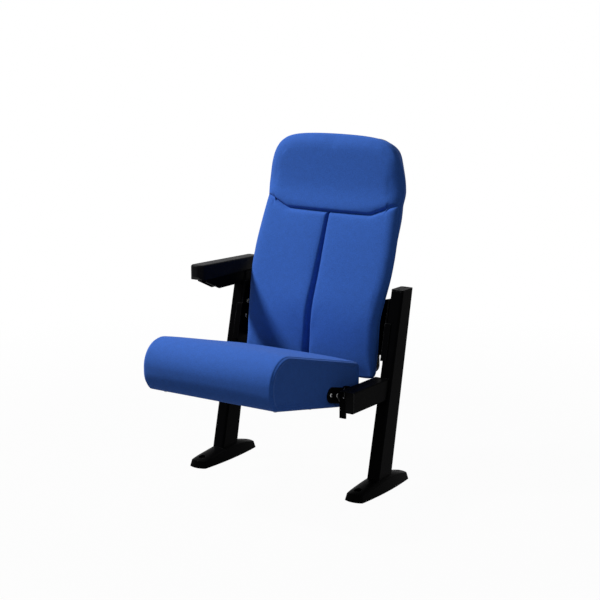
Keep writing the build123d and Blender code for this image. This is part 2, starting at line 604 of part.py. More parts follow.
def make_back_brackets():
    """Steel angle from each upright's inner face to the rear of the shell."""
    near = BOARD_THICKNESS + SHELL_WALL
    far = near + BRACKET_THICKNESS
    tall = slab(BRACKET_BOTTOM, BRACKET_TOP)
    rear_y = back_rear_y(BRACKET_TOP, BACK_FOAM)
    window = polygon([
        (INNER_FACE - BRACKET_REACH, BRACKET_BOTTOM), (INNER_FACE, BRACKET_BOTTOM),
        (INNER_FACE, BRACKET_TOP), (INNER_FACE - BRACKET_REACH, BRACKET_TOP - BRACKET_SLANT),
    ])
    wing = rear_band(near, far) & front_slab(window, 0, rear_y)
    lip = BRACKET_LIP_THICKNESS
    cheek = polygon([
        (upright_front(BRACKET_BOTTOM), BRACKET_BOTTOM),
        (back_rear_y(BRACKET_BOTTOM, far), BRACKET_BOTTOM),
        (back_rear_y(BACK_LUMBAR_Z, far), BACK_LUMBAR_Z),
        (back_rear_y(BRACKET_TOP, far), BRACKET_TOP),
        (upright_front(BRACKET_TOP), BRACKET_TOP),
    ])
    cheek = side_slab(cheek, INNER_FACE - BRACKET_THICKNESS, INNER_FACE)
    fold = polygon([
        (upright_front(BRACKET_BOTTOM) - lip, BRACKET_BOTTOM),
        (upright_front(BRACKET_BOTTOM), BRACKET_BOTTOM),
        (upright_front(BRACKET_LIP_TOP), BRACKET_LIP_TOP),
        (upright_front(BRACKET_LIP_TOP) - lip, BRACKET_LIP_TOP),
    ])
    fold = side_slab(fold, INNER_FACE - BRACKET_THICKNESS, INNER_FACE + BRACKET_LIP)
    bracket = (wing + cheek + fold) & tall
    bracket -= upright_block()
    bolts = []
    for x, z in bracket_board_bolts():
        if x > 0:
            bracket -= rod_square(BRACKET_BOLT_R, x, z, far, -2 * BRACKET_THICKNESS, 2)
        shank = rod_square(BRACKET_BOLT_R, x, z, far, -0.8 * near - BRACKET_THICKNESS, 0)
        head = rod_square(BRACKET_BOLT_R * 1.75, x, z, far, 0, 5.0)
        bolts.append(shank + fillet(head.faces().sort_by(Axis.Y)[-1].edges(), 1.5))
    for y, z in bracket_tube_bolts():
        inside = INNER_FACE - BRACKET_THICKNESS
        bracket -= rod_x(BRACKET_BOLT_R, inside - 1, INNER_FACE + 1, y, z)
        shank = rod_x(BRACKET_BOLT_R, inside, INNER_FACE + TUBE_WALL + 4, y, z)
        head = rod_x(BRACKET_BOLT_R * 1.75, inside - 4.5, inside, y, z)
        bolt = shank + fillet(head.faces().sort_by(Axis.X)[0].edges(), 1.5)
        bolts += [bolt, mirror(bolt, about=Plane.YZ)]
    put_pair("back_bracket", bracket.solids().sort_by(SortBy.VOLUME)[-1])
    nodes["back_bracket_bolts"] = Compound(children=bolts)


# ---- seat ----
def seat_outline(inset, crown):
    """Side view of the cushion at one place across its width."""
    low_rise = math.tan(math.radians(SEAT_BOTTOM_PITCH))
    top_rise = math.tan(math.radians(SEAT_TOP_PITCH))
    rear = SEAT_REAR_Y - inset
    front = SEAT_FRONT_Y + inset
    bottom = SEAT_REAR_BOTTOM - SEAT_TRIM + inset * 0.4
    top = SEAT_REAR_TOP - inset + crown
    reach = rear - front
    face = polygon([
        (rear, bottom), (front, bottom + reach * low_rise),
        (front, top + reach * top_rise), (rear, top),
    ])
    front_pair = face.vertices().sort_by(Axis.X)[0:2].sort_by(Axis.Y)
    face = fillet(front_pair[1], SEAT_NOSE_R)
    chin = face.vertices().sort_by_distance((front, bottom + reach * low_rise))[0]
    face = fillet(chin, SEAT_CHIN_R)
    upper = face.vertices().sort_by_distance((rear, top))[0]
    face = fillet(upper, SEAT_BACK_TOP_R)
    lower = face.vertices().sort_by_distance((rear, bottom))[0]
    return fillet(lower, SEAT_BACK_LOW_R)


def seat_form():
    """Crowned wedge of foam: thicker in the middle, rolled in at the side seams."""
    half = SEAT_HALF
    rows = (
        (1.00, SEAT_EDGE_ROLL, SEAT_CROWN * 0.12),
        (0.98, SEAT_EDGE_ROLL * 0.2, SEAT_CROWN * 0.20),
        (0.70, 0.0, SEAT_CROWN * 0.67),
        (0.35, 0.0, SEAT_CROWN * 0.95),
    )
    stations = [(-share * half, inset, crown) for share, inset, crown in rows]
    stations.append((0.0, 0.0, SEAT_CROWN))
    stations += [(share * half, inset, crown) for share, inset, crown in reversed(rows)]
    return loft([Plane.YZ.offset(x) * seat_outline(inset, crown) for x, inset, crown in stations])


def under_line(y, height):
    """Height of a line parallel to the cushion's underside."""
    rise = math.tan(math.radians(SEAT_BOTTOM_PITCH))
    return SEAT_REAR_BOTTOM + (SEAT_REAR_Y - y) * rise + height


def under_slab(y_rear, y_front, low, high, half):
    """Flat panel parallel to the underside, between two heights above it."""
    face = polygon([
        (y_rear, under_line(y_rear, low)), (y_front, under_line(y_front, low)),
        (y_front, under_line(y_front, high)), (y_rear, under_line(y_rear, high)),
    ])
    return side_slab(face, -half, half)


def hinge_screw_places():
    """Side view places of the screws that hold the hinge plate."""
    pitch = math.radians(PLATE_PITCH)
    places = []
    for along in (PLATE_SCREW_FRONT[0], PLATE_SCREW_FRONT[1], -PLATE_SCREW_REAR):
        y = PIVOT_Y - along * math.cos(pitch) + PLATE_RISE * math.sin(pitch)
        z = PIVOT_Z + along * math.sin(pitch) + PLATE_RISE * math.cos(pitch)
        places.append((y, z))
    return places


def under_screw_places():
    """Places across and along the underside of the cover's screws."""
    y_front = SEAT_FRONT_Y + SEAT_CHIN + COVER_MARGIN
    y_rear = SEAT_REAR_Y - COVER_MARGIN - 12
    rows = (y_rear, (y_rear + y_front) / 2, y_front)
    return [(side * (COVER_HALF - COVER_SCREW_INSET), y) for y in rows for side in (-1, 1)]


def make_seat():
    """Upholstered cushion on a plywood board with two cheeks and a thin lower cover."""
    y_rear = SEAT_REAR_Y - SEAT_BOARD_MARGIN
    y_front = SEAT_FRONT_Y + SEAT_CHIN + SEAT_BOARD_MARGIN
    board = under_slab(y_rear, y_front, 0.0, SEAT_BOARD, SEAT_BOARD_HALF)
    face = polygon([
        (CHEEK_REAR_Y, under_line(CHEEK_REAR_Y, SEAT_BOARD)),
        (CHEEK_FRONT_Y, under_line(CHEEK_FRONT_Y, SEAT_BOARD)),
        (CHEEK_FRONT_Y, under_line(CHEEK_FRONT_Y, SEAT_BOARD + CHEEK_HEIGHT)),
        (CHEEK_REAR_Y, under_line(CHEEK_REAR_Y, SEAT_BOARD + CHEEK_HEIGHT)),
    ])
    cheek = side_slab(face, SEAT_BOARD_HALF - CHEEK_THICKNESS, SEAT_BOARD_HALF)
    cushion = seat_form() - under_slab(y_rear, y_front, -20.0, SEAT_BOARD, SEAT_BOARD_HALF)
    cushion = cushion - cheek - mirror(cheek, about=Plane.YZ)
    cushion -= under_slab(SEAT_REAR_Y + 40, SEAT_FRONT_Y - 40, -40.0, CLEARANCE, SEAT_HALF + 10)
    seam_low = SIDE_SEAM_HEIGHT - SIDE_SEAM_WIDTH / 2
    seam_high = SIDE_SEAM_HEIGHT + SIDE_SEAM_WIDTH / 2
    rear, front = SEAT_REAR_Y + SEAT_NOSE_R, SEAT_FRONT_Y - SEAT_NOSE_R
    groove = under_slab(rear, front, seam_low, seam_high, SEAT_HALF + SEAT_TRIM)
    groove -= under_slab(rear, front, 0, 2 * SIDE_SEAM_HEIGHT, SEAT_HALF - SIDE_SEAM_DEPTH)
    cushion -= groove
    for y, z in hinge_screw_places():
        hole = rod_x(PLATE_SCREW_R, SEAT_BOARD_HALF - CHEEK_THICKNESS + 2, SEAT_HALF + 20, y, z)
        cheek -= hole
        cushion -= hole
        cushion -= mirror(hole, about=Plane.YZ)
    cover_rear = SEAT_REAR_Y - COVER_MARGIN
    cover_front = SEAT_FRONT_Y + SEAT_CHIN + COVER_MARGIN * 0.6
    cover = under_slab(cover_rear, cover_front, -COVER_THICKNESS, 0.0, COVER_HALF)
    screws = []
    for x, y in under_screw_places():
        z = under_line(y, 0.0)
        hole = rod_z(SHELL_SCREW_R, x, y, z - 10, z + SEAT_BOARD - 1)
        board -= hole
        cover -= hole
        shank = rod_z(SHELL_SCREW_R, x, y, z - COVER_THICKNESS - 1.0, z + SEAT_BOARD - 1)
        head = rod_z(SHELL_SCREW_HEAD, x, y, z - COVER_THICKNESS - 3.4, z - COVER_THICKNESS - 1.0)
        screws.append(shank + fillet(head.faces().sort_by(Axis.Z)[0].edges(), 1.4))
    nodes["seat_cushion"] = cushion.solids().sort_by(SortBy.VOLUME)[-1]
    nodes["seat_board"] = board
    put_pair("seat_cheek", cheek)
    nodes["seat_underside_cover"] = cover
    nodes["seat_cover_screws"] = Compound(children=screws)


# ---- hinge ----
def stop_pin_place():
    """Side view place of the stop pin."""
    angle = math.radians(STOP_PIN_ANGLE)
    return PIVOT_Y + STOP_PIN_RADIUS * math.cos(angle), PIVOT_Z + STOP_PIN_RADIUS * math.sin(angle)


def make_hinge_plates():
    """Flat steel plate screwed to each side of the seat."""
    pitch = math.radians(PLATE_PITCH)
    middle = (PLATE_FRONT_REACH - PLATE_REAR_REACH) / 2
    y = PIVOT_Y - middle * math.cos(pitch) + PLATE_RISE * math.sin(pitch)
    z = PIVOT_Z + middle * math.sin(pitch) + PLATE_RISE * math.cos(pitch)
    bar = SlotCenterToCenter(PLATE_FRONT_REACH + PLATE_REAR_REACH, PLATE_HEIGHT)
    plate = side_slab(Pos(y, z) * Rot(0, 0, -PLATE_PITCH) * bar, PLATE_X, PLATE_FACE)
    screws = []
    for y, z in hinge_screw_places():
        plate -= rod_x(PLATE_SCREW_R, PLATE_X - 1, PLATE_FACE + 1, y, z)
        shank = rod_x(PLATE_SCREW_R, SEAT_BOARD_HALF - CHEEK_THICKNESS + 2, PLATE_FACE, y, z)
        head = rod_x(PLATE_SCREW_HEAD_R, PLATE_FACE, PLATE_FACE + PLATE_SCREW_HEAD, y, z)
        screws.append(shank + fillet(head.faces().sort_by(Axis.X)[-1].edges(), 1.6))
    put_pair("hinge_plate", plate)
    right = Compound(children=screws)
    nodes["right_hinge_screws"] = right
    nodes["left_hinge_screws"] = mirror(right, about=Plane.YZ)


def make_pivots():
    """Fixed pin in the arm, and the hub with its nylon bush that turns on it."""
    pin = rod_x(PIN_R, PLATE_FACE + 2.0, ARM_OUTER, PIVOT_Y, PIVOT_Z)
    bush = tube_x(BUSH_R, PIN_R + RUNNING_GAP, PLATE_FACE + 1.0, HUB_END, PIVOT_Y, PIVOT_Z)
    flange = tube_x(HUB_R, PIN_R + RUNNING_GAP, HUB_END, HUB_END + FLANGE_THICKNESS, PIVOT_Y, PIVOT_Z)
    hub = tube_x(HUB_R, BUSH_R, PLATE_FACE, HUB_END, PIVOT_Y, PIVOT_Z)
    put_pair("pivot_pin", fillet(pin.faces().sort_by(Axis.X)[0].edges(), 1.0))
    put_pair("hinge_bush", bush + flange)
    put_pair("hinge_hub", hub)


def make_stops():
    """Notched disc on the hub and the rubber-sleeved pin that limits its turn."""
    half_gap = math.degrees(math.asin((STOP_PIN_R + STOP_RUBBER + CLEARANCE) / STOP_PIN_RADIUS))
    start = STOP_PIN_ANGLE - half_gap
    sweep_angle = TIP_UP_ANGLE + 2 * half_gap
    inner = STOP_PIN_RADIUS - STOP_PIN_R - STOP_RUBBER - 2 * CLEARANCE
    outer = STOP_DISC_R + 2.0
    arc_out = CenterArc((0, 0), outer, start, sweep_angle)
    arc_in = CenterArc((0, 0), inner, start, sweep_angle)
    notch = make_face([arc_out, Line(arc_out @ 1, arc_in @ 1), arc_in, Line(arc_in @ 0, arc_out @ 0)])
    disc_face = Circle(STOP_DISC_R) - Circle(HUB_R) - notch
    disc = side_slab(Pos(PIVOT_Y, PIVOT_Z) * disc_face, DISC_X, DISC_END)
    peg_y, peg_z = peg_place()
    disc += rod_x(PEG_R, DISC_END, DISC_END + 5.5, peg_y, peg_z)
    y, z = stop_pin_place()
    pin = rod_x(STOP_PIN_R, DISC_X - 0.5, ARM_INNER + ARM_WALL, y, z)
    rubber = tube_x(STOP_PIN_R + STOP_RUBBER, STOP_PIN_R, DISC_X - 0.5, DISC_END + 0.5, y, z)
    put_pair("stop_disc", disc)
    put_pair("stop_pin", pin)
    put_pair("stop_sleeve", rubber)


def coil_point(turn):
    """Centre of the spring wire after so many turns from its inner end."""
    angle = math.radians(SPRING_START_ANGLE) + turn * 2 * math.pi
    y = PIVOT_Y + SPRING_R * math.cos(angle)
    z = PIVOT_Z + SPRING_R * math.sin(angle)
    return Vector(SPRING_X + SPRING_PITCH * turn, y, z)


def coil_heading(turn):
    """Direction of the spring wire after so many turns."""
    angle = math.radians(SPRING_START_ANGLE) + turn * 2 * math.pi
    along = SPRING_PITCH / (2 * math.pi)
    return Vector(along, -SPRING_R * math.sin(angle), SPRING_R * math.cos(angle)).normalized()


def biarc(start, heading, end, end_heading):
    """Two arcs that leave and arrive in the given directions and meet smoothly."""
    chord = end - start
    total = heading + end_heading
    spread = 2 * (1 - heading.dot(end_heading))
    reach = (-chord.dot(total) + math.sqrt(chord.dot(total) ** 2 + spread * chord.dot(chord))) / spread
    corner_in = start + heading * reach
    corner_out = end - end_heading * reach
    joint = (corner_in + corner_out) * 0.5
    joint_heading = (corner_out - corner_in).normalized()
    first = TangentArc(start, joint, tangent=heading)
    second = TangentArc(joint, end, tangent=joint_heading)
    return [first, second]


def peg_place():
    """Side view place of the peg that the moving end of the spring presses on."""
    start = coil_point(0)
    back = coil_heading(0) * -1
    along_y = back.Y / math.hypot(back.Y, back.Z)
    along_z = back.Z / math.hypot(back.Y, back.Z)
    gap = SPRING_WIRE_R + PEG_R + CLEARANCE
    y = start.Y + along_y * PEG_ALONG_TAIL + along_z * gap
    z = start.Z + along_z * PEG_ALONG_TAIL - along_y * gap
    return y, z


def make_springs():
    """Torsion spring around the hub, one tail on the disc's peg, one on the anchor."""
    quarters = round(SPRING_TURNS * 4)
    first = coil_point(0)
    edges = [Line(first - coil_heading(0) * SPRING_TAIL, first)]
    for step in range(quarters):
        now, after = step / 4, (step + 1) / 4
        edges += biarc(coil_point(now), coil_heading(now), coil_point(after), coil_heading(after))
    last = coil_point(SPRING_TURNS)
    heading = coil_heading(SPRING_TURNS)
    reach = (ARM_NOSE_Y - 3.0 - last.Y) / heading.Y
    edges.append(Line(last, last + heading * reach))
    path = Wire(edges)
    section = Plane(origin=path @ 0, z_dir=path % 0) * Circle(SPRING_WIRE_R)
    spring = sweep(section, path=path)
    put_pair("return_spring", spring)
    tail_x = last.X + heading.X * (ARM_NOSE_Y + ANCHOR_THICKNESS / 2 - last.Y) / heading.Y
    anchor_middle = ARM_INNER - ANCHOR_WIDTH / 2
    place = Pos(anchor_middle, ARM_NOSE_Y + ANCHOR_THICKNESS / 2, (ANCHOR_BOTTOM + ARM_TOP) / 2)
    anchor = place * Box(ANCHOR_WIDTH, ANCHOR_THICKNESS, ARM_TOP - ANCHOR_BOTTOM)
    flange_length = upright_front(ARM_TOP) - ARM_NOSE_Y
    place = Pos(anchor_middle, ARM_NOSE_Y + flange_length / 2, ARM_TOP - ANCHOR_FLANGE / 2)
    anchor += place * Box(ANCHOR_WIDTH, flange_length, ANCHOR_FLANGE)
    slot_low = last.Z - SPRING_WIRE_R - CLEARANCE
    slot = Pos(tail_x, ARM_NOSE_Y + ANCHOR_THICKNESS / 2, slot_low + 20)
    anchor -= slot * Box(ANCHOR_SLOT, ANCHOR_THICKNESS + 2, 40)
    put_pair("spring_anchor", anchor)
    print("spring: least gap between turns", round(SPRING_PITCH - 2 * SPRING_WIRE_R, 2), "mm")


make_feet()
make_uprights()
make_seat_arms()
make_armrest()
make_back_cushion()
make_back_panels()
make_back_brackets()
make_seat()
make_hinge_plates()
make_pivots()
make_stops()
make_springs()

os.makedirs("parts", exist_ok=True)
for name, shape in nodes.items():
    export_step(shape, f"parts/{name}.step")
print(len(nodes), "nodes written")
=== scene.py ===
import bmesh
import bpy
import numpy as np
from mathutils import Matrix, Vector


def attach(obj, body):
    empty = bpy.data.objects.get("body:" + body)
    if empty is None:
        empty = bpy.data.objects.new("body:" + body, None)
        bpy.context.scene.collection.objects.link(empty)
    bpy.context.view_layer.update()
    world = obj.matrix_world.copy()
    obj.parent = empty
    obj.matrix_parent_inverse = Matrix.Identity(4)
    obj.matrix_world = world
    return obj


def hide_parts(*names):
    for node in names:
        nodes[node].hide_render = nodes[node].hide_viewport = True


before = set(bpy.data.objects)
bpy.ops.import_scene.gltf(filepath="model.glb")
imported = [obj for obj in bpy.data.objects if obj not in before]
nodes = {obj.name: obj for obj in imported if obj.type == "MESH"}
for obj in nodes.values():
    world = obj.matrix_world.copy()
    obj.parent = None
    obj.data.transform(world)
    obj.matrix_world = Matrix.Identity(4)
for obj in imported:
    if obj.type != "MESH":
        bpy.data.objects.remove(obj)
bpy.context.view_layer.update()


# ---- Camera ----
# A long lens from the front right, a little above the armrest, looking slightly down.
CAMERA_PLACE = Vector((2.4338, -3.5762, 1.4238))
CAMERA_TARGET = Vector((-0.0057, 0.0200, 0.5259))
CAMERA_LENS = 90.12

camera = bpy.data.objects.new("camera", bpy.data.cameras.new("camera"))
camera.data.sensor_width = 36.0
camera.data.lens = CAMERA_LENS
camera.location = CAMERA_PLACE
camera.rotation_euler = (CAMERA_TARGET - CAMERA_PLACE).to_track_quat("-Z", "Y").to_euler()
bpy.context.scene.collection.objects.link(camera)
bpy.context.scene.camera = camera
bpy.context.scene.view_settings.view_transform = "Standard"


# ---- Floor and light ----
# A white studio floor that still takes a faint shadow of the chair, one soft lamp high at the
# left front, a weaker one at the right, and a pale room all round.
FLOOR_HALF = 14.0
FLOOR_WHITE = 0.24
FLOOR_GLOW = 0.97           # share of the floor that simply shows white near the chair
FLOOR_NEAR = 1.0            # the shadow fades out between these distances
FLOOR_FAR = 2.4
ROOM_LEVEL = 0.17
KEY_PLACE = Vector((-2.8, -1.3, 4.0))
KEY_SIZE = 0.7
KEY_POWER = 285.0
FILL_PLACE = Vector((3.4, -2.4, 1.6))
FILL_SIZE = 2.0
FILL_POWER = 10.0
LAMP_TARGET = Vector((0.0, 0.0, 0.5))


class Wire:
    """A socket in a shader tree. Sums and products of wires add the Math nodes that work them out."""

    def __init__(self, tree, socket=None):
        self.tree = tree
        self.socket = socket

    def node(self, kind, settings=None, values=None, output=0):
        """Adds a node: its settings first, then the values or links of its sockets."""
        made = self.tree.nodes.new("ShaderNode" + kind)
        for key, value in (settings or {}).items():
            setattr(made, key, value)
        for key, value in (values or {}).items():
            if isinstance(value, Wire):
                self.tree.links.new(value.socket, made.inputs[key])
            else:
                made.inputs[key].default_value = value
        return Wire(self.tree, made.outputs[output] if made.outputs else None)

    def math(self, operation, first, second):
        return self.node("Math", {"operation": operation}, {0: first, 1: second})

    def __add__(self, other):
        return self.math("ADD", self, other)

    def __sub__(self, other):
        return self.math("SUBTRACT", self, other)

    def __rsub__(self, other):
        return self.math("SUBTRACT", other, self)

    def __mul__(self, other):
        return self.math("MULTIPLY", self, other)

    def __pow__(self, other):
        return self.math("POWER", self, other)

    __radd__ = __add__
    __rmul__ = __mul__

    def between(self, low, high):
        """0 below low and 1 above high, straight between them."""
        values = {"Value": self, "From Min": low, "From Max": high}
        return self.node("MapRange", {"clamp": True}, values)

    def colour(self, low, high):
        """The colour low where this wire is 0 and high where it is 1."""
        return self.node("Mix", {"data_type": "RGBA"}, {0: self, 6: low, 7: high}, 2)


def seen_or_mirrored(start):
    """1 for what the camera, a glossy surface or glass looks at, 0 for light on the object."""
    paths = [start.node("LightPath", output=name) for name in
             ("Is Camera Ray", "Is Glossy Ray", "Is Transmission Ray")]
    return (paths[0] + paths[1] + paths[2]).between(0.0, 1.0)


room = bpy.data.worlds.new("room")
room.use_nodes = True
room.node_tree.nodes.clear()
sky = Wire(room.node_tree)
level = ROOM_LEVEL + (1.0 - ROOM_LEVEL) * seen_or_mirrored(sky)
backdrop = sky.node("Background", values={"Color": (1, 1, 1, 1), "Strength": level})
sky.node("OutputWorld", values={"Surface": backdrop})
bpy.context.scene.world = room

floor_finish = bpy.data.materials.new("floor_white")
floor_finish.use_nodes = True
floor_finish.node_tree.nodes.clear()
start = Wire(floor_finish.node_tree)
painted = start.node("BsdfDiffuse", values={"Color": (FLOOR_WHITE, FLOOR_WHITE, FLOOR_WHITE, 1)})
glowing = start.node("Emission", values={"Color": (1, 1, 1, 1), "Strength": 1.0})
place = start.node("TexCoord", output="Object")
away = start.node("VectorMath", {"operation": "LENGTH"}, {0: place}, "Value")
share = (FLOOR_GLOW + (1.0 - FLOOR_GLOW) * away.between(FLOOR_NEAR, FLOOR_FAR)) * seen_or_mirrored(start)
blend = start.node("MixShader", values={0: share, 1: painted, 2: glowing})
start.node("OutputMaterial", values={"Surface": blend})

floor_mesh = bpy.data.meshes.new("floor")
corners = [(x * FLOOR_HALF, y * FLOOR_HALF, 0.0) for x, y in ((-1, -1), (1, -1), (1, 1), (-1, 1))]
floor_mesh.from_pydata(corners, [], [(0, 1, 2, 3)])
floor_mesh.materials.append(floor_finish)
floor = bpy.data.objects.new("floor", floor_mesh)
bpy.context.scene.collection.objects.link(floor)


def add_lamp(name, place, size, power):
    """A square soft lamp that points at the chair."""
    data = bpy.data.lights.new(name, "AREA")
    data.size = size
    data.energy = power
    lamp = bpy.data.objects.new(name, data)
    lamp.location = place
    lamp.rotation_euler = (LAMP_TARGET - place).to_track_quat("-Z", "Y").to_euler()
    bpy.context.scene.collection.objects.link(lamp)


add_lamp("key_lamp", KEY_PLACE, KEY_SIZE, KEY_POWER)
add_lamp("fill_lamp", FILL_PLACE, FILL_SIZE, FILL_POWER)


# ---- Feet, uprights and arms ----
# Cast shoes, rectangular steel tube and closing plates, all shot with semi-gloss black powder.
# The coat has a fine orange-peel skin, and its edges are painted grey: a painted highlight that also stands
# for rubbed wear.
def new_finish(name):
    """An empty material and the wire that its nodes start from."""
    material = bpy.data.materials.new(name)
    material.use_nodes = True
    material.node_tree.nodes.clear()
    return material, Wire(material.node_tree)


def close_finish(start, values):
    """Ends a material in one Principled shader."""
    shader = start.node("BsdfPrincipled", values=values)
    start.node("OutputMaterial", values={"Surface": shader})


def edge_mask(start, radius):
    """1 along outer edges: there the softened normal turns away from the face's own."""
    soft = start.node("Bevel", {"samples": 4}, {"Radius": radius}, "Normal")
    flat = start.node("NewGeometry", output="Normal")
    turned = start.node("VectorMath", {"operation": "DOT_PRODUCT"}, {0: soft, 1: flat}, "Value")
    return 1.0 - turned.between(0.86, 0.995)


def black_coat(name, colour, highlit_rubbed, gloss_low, gloss_high, peel_size, peel_depth):
    """Powder coat on steel: peel bump, uneven gloss, dust in patches, edges painted grey as painted
    highlight and rubbed wear.
    """
    material, start = new_finish(name)
    place = start.node("TexCoord", output="Object")
    peel = start.node("TexNoise", values={"Vector": place, "Scale": 1.0 / peel_size, "Detail": 2.0})
    patch = start.node("TexNoise", values={"Vector": place, "Scale": 9.0, "Detail": 5.0})
    speck = start.node("TexNoise", values={"Vector": place, "Scale": 260.0, "Detail": 3.0})
    # Grey painted along the edges: a painted highlight, partly also rubbed wear.
    highlit_worn_edges = edge_mask(start, 0.0012) * speck.between(0.34, 0.62)
    soft = start.node("Bevel", {"samples": 4}, {"Radius": 0.0011}, "Normal")
    peeled = {"Strength": 0.35, "Distance": peel_depth, "Height": peel, "Normal": soft}
    dust = patch.between(0.45, 0.80) * 0.35
    close_finish(start, {
        "Base Color": highlit_worn_edges.colour(dust.colour((*colour, 1), (*(2.4 * c for c in colour), 1)), (*highlit_rubbed, 1)),
        "Roughness": gloss_low + (gloss_high - gloss_low) * patch.between(0.3, 0.7),
        "Normal": start.node("Bump", values=peeled),
        "IOR": 1.05,
    })
    return material


def dress(material, *names):
    """Gives CAD nodes a finish, through their objects' material slots."""
    for name in names:
        for slot in nodes[name].material_slots:
            slot.material = material


BLACK = (0.0012, 0.0012, 0.0014)
# Grey painted along the edges of the coat: a painted highlight, partly also rubbed wear.
HIGHLIT_RUBBED_GREY = (0.055, 0.055, 0.058)

steel_coat = black_coat("frame_coat", BLACK, HIGHLIT_RUBBED_GREY, 0.30, 0.42, 0.0016, 0.00012)
cast_coat = black_coat("casting_coat", (0.0016, 0.0016, 0.0017), HIGHLIT_RUBBED_GREY, 0.26, 0.38, 0.0034, 0.00030)

for side in ("left_", "right_"):
    dress(cast_coat, side + "foot")
    dress(steel_coat, side + "upright", side + "top_plate", side + "seat_arm", side + "spring_anchor",
          side + "back_bracket", side + "hinge_plate", side + "hinge_hub", side + "stop_disc",
          side + "pivot_pin")


# ---- Nose caps, armrest, rear tray and seat cover ----
# Injection-moulded black plastic: the armrest and tray have a fine leather-like grain, the
# caps and the cover are smoother. The armrest sits on a coated steel channel.
def moulded_plastic(name, colour, gloss, grain_size, grain_depth):
    """Black plastic: cell grain for the bump, slightly scuffed gloss, edges painted paler as painted
    highlight and wear.
    """
    material, start = new_finish(name)
    place = start.node("TexCoord", output="Object")
    cells = start.node("TexVoronoi", {"feature": "SMOOTH_F1"}, {"Vector": place, "Scale": 1.0 / grain_size})
    haze = start.node("TexNoise", values={"Vector": place, "Scale": 30.0, "Detail": 6.0})
    speck = start.node("TexNoise", values={"Vector": place, "Scale": 400.0, "Detail": 2.0})
    soft = start.node("Bevel", {"samples": 4}, {"Radius": 0.0010}, "Normal")
    # Edges painted paler: a painted highlight, partly also wear.
    highlit_worn_edges = edge_mask(start, 0.0012) * speck.between(0.4, 0.7)
    paler = tuple(2.6 * c for c in colour)
    pebbled = {"Strength": 0.5, "Distance": grain_depth, "Height": cells, "Normal": soft}
    close_finish(start, {
        "Base Color": (haze.between(0.35, 0.75) * 0.35 + highlit_worn_edges * 0.4).colour((*colour, 1), (*paler, 1)),
        "Roughness": gloss + 0.16 * (haze - 0.5),
        "Normal": start.node("Bump", values=pebbled),
        "IOR": 1.10,
    })
    return material


grained = moulded_plastic("armrest_grain", (0.004, 0.004, 0.0045), 0.44, 0.0015, 0.00014)
tray_plastic = moulded_plastic("tray_grain", (0.004, 0.004, 0.0043), 0.52, 0.0018, 0.00016)
cap_plastic = moulded_plastic("cap_satin", (0.0018, 0.0018, 0.0020), 0.38, 0.0010, 0.00005)

dress(grained, "armrest_pad")
dress(steel_coat, "armrest_brace")
dress(tray_plastic, "back_shell", "seat_underside_cover")
dress(cap_plastic, "left_arm_nose_cap", "right_arm_nose_cap")


# ---- Screws, pins, springs, bushes and stop sleeves ----
# Zinc-plated fasteners, ground hinge pins, oiled spring wire, natural nylon and rubber.
def worked_metal(name, colour, gloss, brush_scale, tarnish):
    """Bare or plated metal: fine turning lines across X and cloudy tarnish."""
    material, start = new_finish(name)
    place = start.node("TexCoord", output="Object")
    stretched = start.node("VectorMath", {"operation": "MULTIPLY"}, {0: place, 1: (brush_scale, 90.0, 90.0)})
    lines = start.node("TexNoise", values={"Vector": stretched, "Scale": 1.0, "Detail": 4.0})
    cloud = start.node("TexNoise", values={"Vector": place, "Scale": 160.0, "Detail": 4.0})
    darker = tuple(tarnish * c for c in colour)
    close_finish(start, {
        "Base Color": cloud.between(0.35, 0.7).colour((*colour, 1), (*darker, 1)),
        "Roughness": gloss + 0.18 * (lines - 0.5),
        "Metallic": 1.0,
        "Normal": start.node("Bump", values={"Strength": 0.3, "Distance": 0.00004, "Height": lines}),
    })
    return material


def plain_polymer(name, colour, gloss, mottle):
    """Nylon or rubber: dull, faintly mottled, with a little moulding bump."""
    material, start = new_finish(name)
    place = start.node("TexCoord", output="Object")
    cloud = start.node("TexNoise", values={"Vector": place, "Scale": 240.0, "Detail": 4.0})
    darker = tuple(mottle * c for c in colour)
    close_finish(start, {
        "Base Color": cloud.between(0.3, 0.7).colour((*colour, 1), (*darker, 1)),
        "Roughness": gloss + 0.1 * (cloud - 0.5),
        "Normal": start.node("Bump", values={"Strength": 0.3, "Distance": 0.00008, "Height": cloud}),
    })
    return material


zinc = worked_metal("zinc_plate", (0.55, 0.55, 0.56), 0.30, 900.0, 0.72)
ground_pin = worked_metal("ground_pin", (0.45, 0.45, 0.46), 0.24, 1600.0, 0.80)
spring_wire = worked_metal("oiled_wire", (0.20, 0.20, 0.21), 0.34, 1200.0, 0.60)
rubber = plain_polymer("stop_rubber", (0.015, 0.015, 0.015), 0.78, 1.6)
nylon = plain_polymer("bush_nylon", (0.75, 0.74, 0.68), 0.45, 0.90)

dress(zinc, "armrest_brace_bolts", "armrest_pad_screws", "back_shell_screws", "back_bracket_bolts",
      "seat_cover_screws", "left_hinge_screws", "right_hinge_screws")
for side in ("left_", "right_"):
    dress(ground_pin, side + "stop_pin")
    dress(spring_wire, side + "return_spring")
    dress(rubber, side + "stop_sleeve")
    dress(nylon, side + "hinge_bush")


